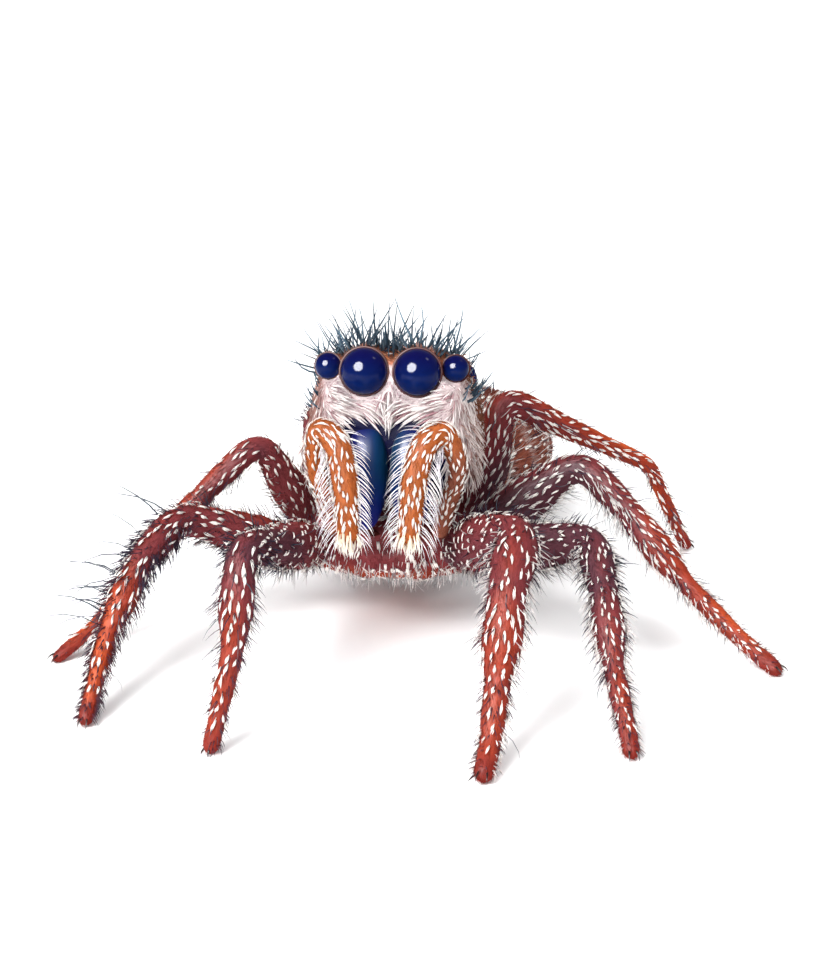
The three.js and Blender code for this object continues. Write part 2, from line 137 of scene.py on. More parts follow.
# The stance in degrees, front to back, and how dark the skin is (0 orange, 1 dark maroon) at the
# root, mid femur, knee, patella's end, mid tibia, tibia's end, metatarsus's end and tip. That
# darkness is partly the legs' own colour, darker on the thighs, and partly painted light and
# shade, so a leg on her shaded left side is darker than its partner. Bristles are their fullness
# and the share of them that is pale; that share is higher on her left legs, as painted light.
STANCE = {
    "left": [
        {"azimuths": (28, -8, -8), "slopes": (26, -18, -58, -50), "girth": 1.02,
         "dark": [0.75, 0.62, 0.66, 0.55, 0.3, 0.3, 0.25, 0.42], "bristles": (1.25, 0.5)},
        {"azimuths": (54, 9, 13), "slopes": (21, -18, -37, -32), "girth": 0.98,
         "dark": [1.0, 1.0, 0.95, 0.9, 0.6, 0.5, 0.36, 0.45], "bristles": (1.6, 0.65)},
        {"azimuths": (95, 56, 42), "slopes": (38, -34, -41, -22), "girth": 1.0,
         "dark": [1.0, 0.9, 0.75, 0.55, 0.3, 0.3, 0.15, 0.42], "bristles": (1.0, 0.6)},
        {"azimuths": (138, 104, 124), "slopes": (66, -29, -27, -63), "girth": 1.0,
         "dark": [0.8, 0.75, 0.5, 0.25, 0.1, 0.12, 0.06, 0.5], "bristles": (0.45, 0.15)},
    ],
    "right": [
        {"azimuths": (16, 9, 36), "slopes": (21, 16, -67, -69), "girth": 0.88,
         "dark": [0.6, 0.6, 0.95, 0.85, 0.5, 0.34, 0.24, 0.42], "bristles": (0.9, 0.05)},
        {"azimuths": (60, 23, 8), "slopes": (24, -15, -41, -41), "girth": 0.9,
         "dark": [0.6, 0.5, 0.62, 0.62, 0.22, 0.12, 0.08, 0.42], "bristles": (2.7, 0.05)},
        {"azimuths": (50, 64, 42), "slopes": (61, -39, -45, -38), "girth": 0.84,
         "dark": [0.55, 0.5, 0.6, 0.4, 0.2, 0.15, 0.1, 0.42], "bristles": (0.5, 0.05)},
        {"azimuths": (164, 178, 178), "slopes": (27, -8, -32, -38), "girth": 1.0,
         "dark": [0.8, 0.75, 0.5, 0.25, 0.1, 0.12, 0.06, 0.5], "bristles": (0.45, 0.15)},
    ],
}
SEGMENT_TURNS = (0, 1, 1, 2, 2)
SEGMENT_DEPTHS = (1.24, 1.06, 1.04, 1, 1)
TROCHANTER = 0.45
BENDS = (0.4, 0.75, 0.5, 0.4, 0.3)
FOOT_FLAT_DEPTH = 0.07

# The parts of the animal that skin and coat are mapped by. Each has a square of the coat's map.
PARTS = ["head", "abdomen", "underside", "palp_left", "palp_right"]
PARTS += [f"leg_{number}_{side}" for side in SIDES for number in (1, 2, 3, 4)]
HEAD, ABDOMEN_PART, UNDERSIDE = range(3)  # places in PARTS
PART_SPACING = 3.7  # between the parts' patterns of fur
MAP_SQUARES = 4  # squares along each side of the map
TUFT_PATCH = 0.003
DASHES_KEPT = 0.82  # of the places for them
LONG_SPINED_LEG = "leg_2_right"
FANG_TONE, CLAW_TONE = tone(60, 24, 20), tone(40, 26, 26)
LILAC_TONE, PALP_TIP_TONE = tone(196, 186, 214), tone(246, 226, 190)
BROW_TONE, CREAM_TONE = tone(232, 156, 92), tone(255, 236, 208)
CREST_TONE = tone(104, 128, 144)


# ------------------------------------------------------------------ settings a user may change


def colour_setting(name, description, default):
    return FloatVectorProperty(
        name=name, description=description, default=default, size=3, min=0, max=1,
        subtype="COLOR",
    )


def length_setting(name, description, default):
    """A length in metres, given here in millimetres."""
    return FloatProperty(
        name=name, description=description, default=default * MM, min=0,
        unit="LENGTH", subtype="DISTANCE", precision=5,
    )


class SpiderBody(bpy.types.PropertyGroup):
    coat_depth: length_setting("Coat depth", "How far the skin lies inside the solids", 0.05)
    head_coat_depth: length_setting(
        "Head coat depth", "How far the head's and abdomen's skin lies inside the solids", 0.09,
    )
    fineness: length_setting("Skin fineness", "Size of the skin's faces", 0.09)
    smoothing: IntProperty(
        name="Smoothing", description="Rounds of smoothing over the skin", default=3, min=0,
    )
    lens: FloatProperty(
        name="Lens size", description="Radius of each eye's lens over that of its solid",
        default=0.955, min=0.5, max=1,
    )


class SpiderColours(bpy.types.PropertyGroup):
    orange: colour_setting("Orange", "The brightest leg skin", tone(190, 80, 40))
    brick: colour_setting("Brick red", "Most of the legs", tone(142, 54, 38))
    maroon: colour_setting("Maroon", "Joints and thighs", tone(112, 50, 53))
    dark: colour_setting("Dark maroon", "The darkest thighs", tone(80, 46, 54))
    foot: colour_setting("Foot", "Ends of the legs", tone(122, 42, 34))
    palp: colour_setting("Palp", "Skin of the palps", tone(158, 84, 44))
    dash: colour_setting("Dashes", "White flecks of flattened hairs", tone(250, 244, 238))
    slate: colour_setting("Slate", "Dark bristles", tone(36, 52, 68))
    white: colour_setting("White fur", "Moustache and fringes", tone(255, 250, 247))
    # Painted shade: this pinkish brown stands for the shade between the face's white hairs, on the
    # skin and at the hairs' roots; brown hairs also take it as their own colour.
    pink_and_painted_shade: colour_setting("Pinkish brown", "Shade between the white hairs", tone(150, 98, 108))
    # Painted shadow: a navy put on the skin round the jaws and low on the front of the head's
    # sides.
    gap: colour_setting("Gap", "Shadow round the jaws", tone(10, 12, 52))
    cheek: colour_setting("Cheek", "Brown roots of the cheek fur", tone(130, 76, 60))
    crown: colour_setting("Crown", "Fur on top of the head", tone(120, 74, 56))
    rim: colour_setting("Eye rims", "Ring round each eye", tone(72, 26, 20))
    eye: colour_setting("Eye", "Top of each lens", tone(16, 16, 62))
    # Painted reflection: the lower part of each lens is this lighter blue, as if it reflected the
    # bright floor.
    eye_painted_reflection: colour_setting("Eye glow", "Lower part of each lens", tone(12, 30, 74))
    jaw: colour_setting("Jaw", "Outside of the chelicerae", tone(18, 24, 92))
    # Painted sheen: the middle of the jaws is this teal, their own iridescence painted where it
    # catches the light.
    jaw_glow: colour_setting("Jaw glow", "Middle of the chelicerae", tone(10, 50, 80))
    # Painted shade: this ground colour is a greyer, darker brown than the animal's own orange, as
    # the top of the abdomen lies in shade.
    abdomen: colour_setting("Abdomen", "Ground colour of the abdomen", tone(144, 82, 66))
    abdomen_dark: colour_setting("Abdomen shade", "Its sides and borders", tone(78, 30, 30))


class SpiderStage(bpy.types.PropertyGroup):
    floor: colour_setting("Floor", "Colour of the floor", tone(252, 252, 252))
    distance: length_setting("Camera distance", "From the camera to its aim point", 60)
    lens: FloatProperty(
        name="Lens", description="Focal length in millimetres", default=80.25, min=10,
    )
    elevation: FloatProperty(
        name="Elevation", description="Camera's height above the aim point",
        default=math.radians(21), subtype="ANGLE", unit="ROTATION",
    )
    azimuth: FloatProperty(
        name="Azimuth", description="Camera's turn towards the spider's left",
        default=math.radians(4), subtype="ANGLE", unit="ROTATION",
    )


# ------------------------------------------------------------------ small maths


def ease(value, low, high):
    """0 below low, 1 above high, and an eased step between them."""
    t = np.clip((np.asarray(value, float) - low) / (high - low), 0, 1)
    return t * t * (3 - 2 * t)


def fade(value, full, none):
    return 1 - ease(value, full, none)


def along(values, t):
    """The value at t in 0..1 of an eased line through evenly spaced values."""
    values = np.asarray(values, float)
    reach = np.clip(t, 0, 1) * (len(values) - 1)
    step = np.minimum(np.floor(reach).astype(int), len(values) - 2)
    return values[step] + (values[step + 1] - values[step]) * ease(reach - step, 0, 1)


def through(values, t):
    """The value at t in 0..1 of a smooth curve through evenly spaced values."""
    values = np.asarray(values, float)
    last = len(values) - 1
    reach = np.clip(t, 0, 1) * last
    step = np.minimum(np.floor(reach).astype(int), last - 1)
    share = reach - step
    before, start, end, after = (values[np.clip(step + i, 0, last)] for i in (-1, 0, 1, 2))
    out, into = (end - before) / 2, (after - start) / 2
    bend = 3 * (end - start) - 2 * out - into + share * (2 * (start - end) + out + into)
    return start + share * (out + share * bend)


def signed_power(value, exponent):
    return np.sign(value) * np.abs(value) ** exponent


def unit(vectors):
    size = np.linalg.norm(vectors, axis=-1, keepdims=True)
    return vectors / np.maximum(size, 1e-12)


def dots(a, b):
    return np.sum(a * b, axis=-1, keepdims=True)


def mix(a, b, share):
    share = np.asarray(share, float)[..., None]
    return np.asarray(a, float) * (1 - share) + np.asarray(b, float) * share


def on_side(point, side):
    return np.array([point[0] * side, point[1], point[2]])


def turned(points, angle):
    """Points or directions turned about X, as the head-and-chest is tipped nose up."""
    x, y, z = np.moveaxis(np.asarray(points, float), -1, 0)
    cos, sin = math.cos(angle), math.sin(angle)
    return np.stack([x, y * cos + z * sin, z * cos - y * sin], -1)


def prosoma_to_world(points):
    return turned(points, PITCH) + UP * PROSOMA_HEIGHT


def world_to_prosoma(points):
    return turned(points - UP * PROSOMA_HEIGHT, -PITCH)


def direction(side, azimuth, slope):
    turn, rise = math.radians(azimuth), math.radians(slope)
    level = math.cos(rise)
    return np.array([side * math.sin(turn) * level, -math.cos(turn) * level, math.sin(rise)])


def curve(path, t):
    """Places at t in 0..1 on the curve that leaves the first place of the path for the second
    and ends at the third."""
    start, middle, end = path
    return start * (1 - t) ** 2 + middle * 2 * t * (1 - t) + end * t ** 2


def eyes():
    """Each eye's kind, side, radius, place and facing, the last two in the prosoma frame."""
    for kind, eye in EYES.items():
        for side_name, side in SIDES.items():
            at, facing = on_side(eye["at"], side), unit(on_side(eye["faces"], side))
            yield kind, side_name, eye["radius"], at, facing


# ------------------------------------------------------------------ limbs


class Limb:
    """A tube of flesh round a smooth line: its place, frame and radius at each step."""

    def __init__(self, name, points, reference):
        self.name = name
        self.part = PARTS.index(name)
        steps = np.linalg.norm(np.diff(points, axis=0), axis=1)
        keep = np.concatenate([[True], steps > 1e-9])
        points = points[keep]
        steps = np.linalg.norm(np.diff(points, axis=0), axis=1)
        reach = np.concatenate([[0], np.cumsum(steps)])
        self.length = reach[-1]
        count = int(self.length / 0.03)
        self.s = np.linspace(0, self.length, count)
        self.centre = np.stack([np.interp(self.s, reach, points[:, i]) for i in range(3)], 1)
        self.ahead = unit(np.gradient(self.centre, axis=0))
        self.across = unit(np.cross(self.ahead, reference))
        self.dorsal = np.cross(self.across, self.ahead)
        self.radius = np.zeros(count)
        self.depth = np.ones(count)
        self.stops = []

    def at(self, s, what):
        values = getattr(self, what)
        if values.ndim == 1:
            return np.interp(s, self.s, values)
        return np.stack([np.interp(s, self.s, values[:, i]) for i in range(3)], -1)

    def surface(self, s, phi, lift=0.0):
        """Places, outward normals and forward directions on the tube. 90 degrees is dorsal."""
        across, dorsal = self.at(s, "across"), self.at(s, "dorsal")
        radius, depth = self.at(s, "radius"), self.at(s, "depth")
        cap = np.minimum(1, np.maximum(0, self.length - s) / np.maximum(radius, 1e-6))
        round_end = np.sqrt(np.clip(1 - (1 - cap) ** 2, 0, 1))
        cos, sin = np.cos(phi)[..., None], np.sin(phi)[..., None]
        wide = (radius * round_end)[..., None]
        place = self.at(s, "centre") + wide * (cos * across + sin * dorsal * depth[..., None])
        ahead = unit(self.at(s, "ahead"))
        outward = cos * across + sin * dorsal / depth[..., None]
        normal = unit(outward + ahead * (1 - cap[..., None]))
        return place + normal * lift, normal, ahead


def leg_joints(pair, stance, side):
    outward = direction(side, pair["coxa_azimuth"], 0)
    root = on_side(pair["root"], side)
    joints = [prosoma_to_world(root - outward * TROCHANTER), prosoma_to_world(root)]
    foot_radius = pair["joint_radii"][-1] * stance["girth"]
    for i, length in enumerate(pair["lengths"]):
        is_tarsus = i == len(pair["lengths"]) - 1
        drop = foot_radius - FOOT_FLAT_DEPTH - joints[-1][2]
        slope = math.degrees(math.asin(drop / length)) if is_tarsus else stance["slopes"][i]
        run = length + foot_radius if is_tarsus else length
        way = direction(side, stance["azimuths"][SEGMENT_TURNS[i]], slope)
        joints.append(joints[-1] + way * run)
    return joints


def rounded_line(joints):
    """A line through the joints, rounded at each, and the lengths at which they lie."""
    points, stops, length = [joints[0]], [0.0], 0.0
    t = np.linspace(0, 1, 33)[:, None]
    for i in range(1, len(joints) - 1):
        last, joint, after = joints[i - 1: i + 2]
        start = joint + unit(last - joint) * BENDS[i - 1]
        end = joint + unit(after - joint) * BENDS[i - 1]
        bend = curve((start, joint, end), t)
        length += np.linalg.norm(start - points[-1])
        bend_length = np.linalg.norm(np.diff(bend, axis=0), axis=1).sum()
        stops.append(length + bend_length / 2)
        length += bend_length
        points.extend(bend)
    length += np.linalg.norm(joints[-1] - points[-1])
    return np.array([*points, joints[-1]]), [*stops, length]


def make_leg(side_name, index):
    pair, stance = LEG_PAIRS[index], STANCE[side_name][index]
    points, stops = rounded_line(leg_joints(pair, stance, SIDES[side_name]))
    leg = Limb(f"leg_{index + 1}_{side_name}", points, UP)
    leg.stance = stance
    leg.stops = [stops[0], *stops[2:]]  # where the five segments meet
    for i in range(len(pair["lengths"])):
        inside = (leg.s >= leg.stops[i]) & (leg.s <= leg.stops[i + 1])
        share = (leg.s[inside] - leg.stops[i]) / (leg.stops[i + 1] - leg.stops[i])
        radii = [pair["joint_radii"][i], pair["middle_radii"][i], pair["joint_radii"][i + 1]]
        leg.radius[inside] = along(radii, share) * stance["girth"]
    middles = [(a + b) / 2 for a, b in zip(leg.stops, leg.stops[1:])]
    leg.depth = np.interp(leg.s, middles, SEGMENT_DEPTHS)
    return leg


def make_palp(side_name):
    side = SIDES[side_name]
    path = np.array([on_side(point, side) for point in PALP["path"]])
    path[PALP["knee_point"]:, 0] += PALP["swing"]
    ends = [2 * path[0] - path[1], *path, 2 * path[-1] - path[-2]]
    points = []
    for i in range(len(path) - 1):
        a, b, c, d = ends[i: i + 4]
        first, gap, last = (np.linalg.norm(q - p) ** 0.5 for p, q in ((a, b), (b, c), (c, d)))
        out = ((b - a) / first - (c - a) / (first + gap) + (c - b) / gap) * gap
        into = ((c - b) / gap - (d - b) / (gap + last) + (d - c) / last) * gap
        t = np.linspace(0, 1, 24, endpoint=i == len(path) - 2)[:, None]
        points.append(
            b + out * t + (3 * (c - b) - 2 * out - into) * t ** 2
            + (2 * (b - c) + out + into) * t ** 3
        )
    points = prosoma_to_world(np.concatenate(points))
    palp = Limb(f"palp_{side_name}", points, turned(np.array([0, -1.0, 0]), PITCH))
    palp.radius = along(PALP["radii"], palp.s / palp.length)
    return palp


# ------------------------------------------------------------------ body shapes


def on_carapace(ball):
    """Places points of the unit sphere, whose +Y pole is the middle of the face, in the
    prosoma frame."""
    x, y, z = ball.T
    rim = CARAPACE["rim_height"]
    back = (1 - y) / 2
    rearness = ease(back, 0.35, 0.65)
    box = 6 + (2.4 - 6) * rearness
    corner = 0.52 + (0.85 - 0.52) * rearness
    size = (1 - np.abs(np.clip(y, -1, 1)) ** box) ** (1 / box)
    ring = np.maximum(np.hypot(x, z), 1e-9)
    top = through(CARAPACE["roof_heights"], back)
    middle = rim + (top - rim) * 0.42
    rise = signed_power(z / ring, corner) * size
    height = middle + rise * np.where(rise > 0, top - middle, middle - rim)
    width = along(CARAPACE["half_widths"], back)
    width = width * (1 - 0.08 * ease(height, 3.4, 5.6) - 0.05 * fade(height, 0.6, 2))
    width = width * (1 + 0.1 * fade(height, 2.2, 3.6) * fade(back, 0.1, 0.4))
    below = np.maximum(0, CARAPACE["clypeus_edge"] - height)
    return np.stack([
        signed_power(-x / ring, corner) * size * width,
        -y * CARAPACE["half_length"] + 0.42 * below * fade(back, 0.05, 0.45),
        height,
    ], 1)


WAIST = prosoma_to_world(np.array([0, CARAPACE["half_length"], PEDICEL["height"]]))
TAILWARD = np.array([math.sin(ABDOMEN["yaw"]), math.cos(ABDOMEN["yaw"]), 0])
ABDOMEN_CENTRE = WAIST + TAILWARD * (ABDOMEN["front_gap"] + ABDOMEN["half_size"][1])
ABDOMEN_CENTRE[2] = ABDOMEN["centre_height"]


def on_abdomen(ball):
    """Places points of the unit sphere, whose +Y pole is the tail end, in the world frame."""
    x, y, z = ball.T
    half_width, half_length, half_height = ABDOMEN["half_size"]
    fullness = 1 - ABDOMEN["taper"] * y
    drop = ABDOMEN["droop"] * np.maximum(0, y) ** 2
    cos, sin = math.cos(ABDOMEN["yaw"]), math.sin(ABDOMEN["yaw"])
    px, py = x * half_width * fullness, y * half_length
    pz = z * half_height * fullness - drop
    return np.stack([px * cos + py * sin, py * cos - px * sin, pz], 1) + ABDOMEN_CENTRE


# ------------------------------------------------------------------ meshes


def deselect():
    bpy.ops.object.select_all(action="DESELECT")


def ball_mesh(name, segments, rings, axis="Z"):
    """A new unit ball and its points. Its poles lie along the axis."""
    deselect()
    bpy.ops.mesh.primitive_uv_sphere_add(segments=segments, ring_count=rings, radius=1)
    piece = bpy.context.object
    piece.name = name
    points = read_points(piece)
    if axis == "Y":
        points = np.stack([points[:, 0], points[:, 2], -points[:, 1]], 1)
    return piece, points


def read_vectors(piece, field):
    flat = np.empty(len(piece.data.vertices) * 3, np.float32)
    piece.data.vertices.foreach_get(field, flat)
    return flat.reshape(-1, 3).astype(float)


def read_points(piece):
    return read_vectors(piece, "co")


def write_points(piece, points):
    piece.data.vertices.foreach_set("co", np.asarray(points, np.float32).ravel())
    piece.data.update()


def read_normals(piece):
    return read_vectors(piece, "normal")


ATTRIBUTE_FIELDS = {
    "FLOAT": ("value", 1), "FLOAT_VECTOR": ("vector", 3), "FLOAT_COLOR": ("color", 4),
}


def write_attribute(piece, name, kind, values):
    values = np.asarray(values, np.float32)
    made = piece.data.attributes
    if kind == "FLOAT_COLOR":
        values = np.concatenate([values, np.ones((len(values), 1), np.float32)], 1)
        made = piece.data.color_attributes
    made.new(name, kind, "POINT").data.foreach_set(ATTRIBUTE_FIELDS[kind][0], values.ravel())


def read_attribute(piece, name):
    """An attribute's values, as numbers or as vectors or colours of three."""
    attribute = piece.data.attributes[name]
    field, width = ATTRIBUTE_FIELDS[attribute.data_type]
    flat = np.empty(len(attribute.data) * width, np.float32)
    attribute.data.foreach_get(field, flat)
    flat = flat.astype(float)
    return flat if width == 1 else flat.reshape(-1, width)[:, :3]


def finish_piece(piece, material, nodes=()):
    """Scales a piece to metres, smooths its shading and gives it its place in the model."""
    write_points(piece, read_points(piece) * MM + model_offset())
    deselect()
    piece.select_set(True)
    bpy.context.view_layer.objects.active = piece
    bpy.ops.object.shade_smooth()
    piece.data.materials.clear()
    piece.data.materials.append(material)
    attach(piece, "root")
    if nodes:
        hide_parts(*nodes)
    return piece


def model_offset():
    """From the world frame of the shapes to the model's own, centred under its box, in metres."""
    low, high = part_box("eye_anterior_median_left")
    centre = prosoma_to_world(np.array(EYES["anterior_median"]["at"])) * MM
    offset = (np.array(low) + np.array(high)) / 2 - centre
    offset[2] = 0
    return offset


def join(pieces, name):
    deselect()
    for piece in pieces:
        piece.select_set(True)
    bpy.context.view_layer.objects.active = pieces[0]
    bpy.ops.object.join()
    pieces[0].name = name
    return pieces[0]


def apply_modifier(piece, kind, **settings):
    modifier = piece.modifiers.new(kind.title(), kind)
    for key, value in settings.items():
        setattr(modifier, key, value)
    bpy.context.view_layer.objects.active = piece
    bpy.ops.object.modifier_apply(modifier=modifier.name)


# ------------------------------------------------------------------ markings


def leg_tone(colours, leg, s, phi):
    """The skin's colour on a leg."""
    stops = leg.stops
    marks = [0, (stops[0] + stops[1]) / 2, stops[1], stops[2], (stops[2] + stops[3]) / 2,
             stops[3], stops[4], stops[5]]
    dark = np.interp(s, marks, leg.stance["dark"])
    # Painted shade: each leg is darker on its two flanks, across it, as a round tube is shaded
    # towards its edges. It is also a little darker underneath.
    flank = np.abs(np.cos(phi)) ** 1.5
    dark = np.clip(dark + 0.12 * fade(np.sin(phi), -0.9, 0.1) + 0.28 * flank - 0.06, 0, 1)
    for joint in stops[1:5]:
        dark = np.clip(dark + 0.08 * np.exp(-((s - joint) / 0.2) ** 2), 0, 1)
    shade = mix(colours.orange, colours.brick, ease(dark, 0.05, 0.3))
    shade = mix(shade, colours.maroon, ease(dark, 0.35, 0.7))
    shade = mix(shade, colours.dark, ease(dark, 0.75, 1.0))
    return mix(shade, colours.foot, ease(s, stops[5] - 0.8, stops[5] - 0.45))


def face_edge(x):
    """How high on the head the face's fur starts: over the jaws in the middle, and low on the
    cheeks."""
    return 3.5 - 1.5 * ease(np.abs(x), 1.2, 1.95)


def head_tone(colours, points):
    """The skin's and fur's colour on the head, from places in the prosoma frame."""
    x, y, z = points.T
    front = fade(y, -2.9, -1.9)
    side = ease(np.abs(x), 1.6, 2.2)
    shade = mix(colours.crown, colours.maroon, ease(y, -0.5, 2.5))
    shade = mix(shade, colours.dark, fade(z, 1.0, 2.4))
    face = front * ease(z - face_edge(x), -0.1, 0.1)
    # The face's skin is half pinkish brown: painted shade between the white hairs.
    pale = mix(colours.pink_and_painted_shade, colours.white, 0.5)
    # Painted shade: the cheeks are browner on her right side and whiter on her left.
    cheeks = mix(pale, colours.cheek, side * np.where(x > 0, 0.45, 0.8))
    shade = mix(shade, cheeks, face)
    # Painted shadow: navy on the skin below the face's fur, round the jaws, and low on the front
    # of the head's sides, where shade falls.
    shade = mix(shade, colours.gap, front * fade(z - face_edge(x), -0.15, 0.05))
    shade = mix(shade, colours.gap, fade(y, -2.0, -1.0) * fade(z, 1.3, 1.8))
    shade = mix(shade, colours.palp, face_orange(points) * front * 0.9)
    return mix(shade, colours.crown, behind_brow(points))


def behind_brow(points):
    """1 on the backs of the mounds that the front eyes sit in, and 0 on the face."""
    return ease(points[:, 2], 4.75, 5.0) * ease(points[:, 1], -3.05, -2.8)


def face_orange(points):
    """Where the face is orange: on top between the large eyes, and beside the left of them."""
    x, _, z = points.T
    middle = fade(np.abs(x), 0.3, 0.45) * ease(z, 4.75, 5.0)
    beside = fade(np.abs(x - 1.47), 0.2, 0.3) * ease(z, 4.6, 4.8)
    return np.clip(middle + beside + ease(z, 4.85, 5.1) * 0.8, 0, 1)


def abdomen_marks(ball):
    """How white and how dark the abdomen is, from places on its unit sphere (+Y the tail)."""
    x, y, z = ball.T
    over = ease(z, -0.35, 0.1)
    band = np.exp(-((y + 0.72 + 0.12 * x ** 2) / 0.11) ** 2) * over * fade(np.abs(x), 0.35, 0.6)
    spot = fade(np.hypot(x / 0.2, (y - 0.12) / 0.26), 0.75, 1.05) * over
    rear = fade(np.hypot((np.abs(x) - 0.3) / 0.1, (y - 0.55) / 0.11), 0.7, 1.1) * over
    fore = fade(np.hypot((np.abs(x) - 0.42) / 0.12, (y + 0.32) / 0.07), 0.7, 1.1) * over
    streaks = fade(np.abs(np.sin((y + 0.25 * np.abs(x)) * 9)), 0.12, 0.42)
    flank = streaks * ease(np.abs(x), 0.55, 0.75) * fade(z, 0.5, 0.75) * ease(z, -0.5, -0.2)
    white = np.clip(band + spot + rear + fore + 0.3 * flank, 0, 1)
    border = fade(np.hypot(x / 0.34, (y - 0.16) / 0.42), 0.85, 1.25) * ease(z, 0, 0.3)
    return white, np.clip(border * 0.7 + fade(z, -0.7, 0.1) * 0.8, 0, 1) * (1 - white)


def abdomen_tone(colours, ball):
    white, dark = abdomen_marks(ball)
    return mix(mix(colours.abdomen, colours.abdomen_dark, dark), colours.white, white)


def palp_tone(colours, palp, s, phi):
    share = s / palp.length
    start = 0.3 if palp.name.endswith("left") else 0.08
    shade = mix(colours.cheek, colours.palp, ease(share, start, start + 0.2))
    return mix(shade, colours.brick, 0.5 * fade(np.sin(phi), -0.9, 0.2))


# ------------------------------------------------------------------ materials


def set_inputs(made, values):
    for key, value in values.items():
        made.inputs[key].default_value = value


def new_material(name, values):
    """A material, its node tree and its surface, with these values on the surface's inputs."""
    material = bpy.data.materials.new(name)
    material.use_nodes = True
    surface = material.node_tree.nodes["Principled BSDF"]
    set_inputs(surface, values)
    return material, material.node_tree, surface


def node(tree, kind, values=None, operation=None):
    made = tree.nodes.new(f"ShaderNode{kind}")
    if operation:
        made.operation = operation
    set_inputs(made, values or {})
    return made


def attribute_node(tree, name):
    made = node(tree, "Attribute")
    made.attribute_name = name
    return made


def ramp_node(tree, low, high):
    made = node(tree, "ValToRGB")
    for element, colour in zip(made.color_ramp.elements, (low, high)):
        element.color = (*colour, 1)
    return made


def wire(tree, *wires):
    """Links nodes, each wire being a node, its output, the next node and its input."""
    for source, output, target, entry in wires:
        tree.links.new(source.outputs[output], target.inputs[entry])


def fur_group():
    """Streaks of short flat hair: a shade and a height, from a place that is squeezed along the
    lie of the coat."""
    group = bpy.data.node_groups.new("Short fur", "ShaderNodeTree")
    sockets = {
        "INPUT": {"Lie": "Vector", "Colour": "Color", "Scale": "Float", "Contrast": "Float"},
        "OUTPUT": {"Colour": "Color", "Height": "Float"},
    }
    for way, names in sockets.items():
        for name, kind in names.items():
            group.interface.new_socket(name, in_out=way, socket_type=f"NodeSocket{kind}")
    source, out = group.nodes.new("NodeGroupInput"), group.nodes.new("NodeGroupOutput")
    streaks = node(group, "TexNoise", {"Detail": 3.0, "Roughness": 0.65})
    patches = node(group, "TexNoise", {"Scale": 1.1, "Detail": 2.0})
    swing = node(group, "MapRange", {"From Min": 0.3, "From Max": 0.7})
    both = node(group, "Math", {1: 0.5}, "MULTIPLY_ADD")
    centred = node(group, "Math", {1: 0.75}, "SUBTRACT")
    gain = node(group, "Math", {2: 1.0}, "MULTIPLY_ADD")
    shade = node(group, "VectorMath", operation="SCALE")
    wire(
        group,
        (source, "Lie", streaks, "Vector"), (source, "Scale", streaks, "Scale"),
        (source, "Lie", patches, "Vector"), (streaks, "Fac", swing, "Value"),
        (patches, "Fac", both, 0), (swing, "Result", both, 2), (both, 0, centred, 0),
        (centred, 0, gain, 0), (source, "Contrast", gain, 1), (source, "Colour", shade, 0),
        (gain, 0, shade, "Scale"), (shade, 0, out, "Colour"), (swing, "Result", out, "Height"),
    )
    return group


def skin_material():
    material, tree, surface = new_material(
        "Short-furred skin", {"Roughness": 0.5, "Specular IOR Level": 0.04},
    )
    fur = node(tree, "Group")
    fur.node_tree = fur_group()
    set_inputs(fur, {"Scale": 16, "Contrast": 0.35})
    bump = node(tree, "Bump", {"Strength": 0.45, "Distance": 0.03 * MM})
    wire(
        tree,
        (attribute_node(tree, "Tint"), "Color", fur, "Colour"),
        (attribute_node(tree, "Lie"), "Vector", fur, "Lie"), (fur, "Height", bump, "Height"),
        (fur, "Colour", surface, "Base Color"), (bump, "Normal", surface, "Normal"),
    )
    return material


def coat_material(name, roughness):
    material, tree, surface = new_material(
        name, {"Roughness": roughness, "Specular IOR Level": 0.03},
    )
    grain = node(tree, "TexNoise", {"Scale": 2600.0, "Detail": 2.0})
    level = node(
        tree, "MapRange", {"From Min": 0.3, "From Max": 0.7, "To Min": 0.82, "To Max": 1.12},
    )
    shade = node(tree, "VectorMath", operation="SCALE")
    wire(
        tree,
        (node(tree, "TexCoord"), "Object", grain, "Vector"), (grain, "Fac", level, "Value"),
        (attribute_node(tree, "Tint"), "Color", shade, 0), (level, "Result", shade, "Scale"),
        (shade, 0, surface, "Base Color"),
    )
    return material


def painted_light_material(name, dark, light, roughness, coat):
    """A polished dark surface that goes from its own colour to a lighter one by the piece's own
    attribute: the lighter one is light painted into the colour."""
    material, tree, surface = new_material(name, {
        "Roughness": roughness, "Specular IOR Level": 0.06, "Coat Weight": coat,
        "Coat Roughness": 0.1, "Coat IOR": 1.35,
    })
    ramp = ramp_node(tree, dark, light)
    pits = node(tree, "TexNoise", {"Scale": 9000.0, "Detail": 2.0})
    bump = node(tree, "Bump", {"Strength": 0.1 if coat else 0.0, "Distance": 0.01 * MM})
    wire(
        tree,
        (attribute_node(tree, "Glow"), "Fac", ramp, "Fac"), (ramp, "Color", surface, "Base Color"),
        (node(tree, "TexCoord"), "Object", pits, "Vector"), (pits, "Fac", bump, "Height"),
        (bump, "Normal", surface, "Normal"),
    )
    return material


def horn_material(name, colour, roughness):
    material, tree, surface = new_material(
        name, {"Roughness": roughness, "Specular IOR Level": 0.1},
    )
    colour = np.array(colour)
    clouds = node(tree, "TexNoise", {"Scale": 3000.0, "Detail": 4.0})
    ramp = ramp_node(tree, colour * 0.55, np.minimum(colour * 1.2, 1))
    bump = node(tree, "Bump", {"Strength": 0.3, "Distance": 0.01 * MM})
    wire(
        tree,
        (node(tree, "TexCoord"), "Object", clouds, "Vector"), (clouds, "Fac", ramp, "Fac"),
        (clouds, "Fac", bump, "Height"), (ramp, "Color", surface, "Base Color"),
        (bump, "Normal", surface, "Normal"),
    )
    return material


# ------------------------------------------------------------------ skin


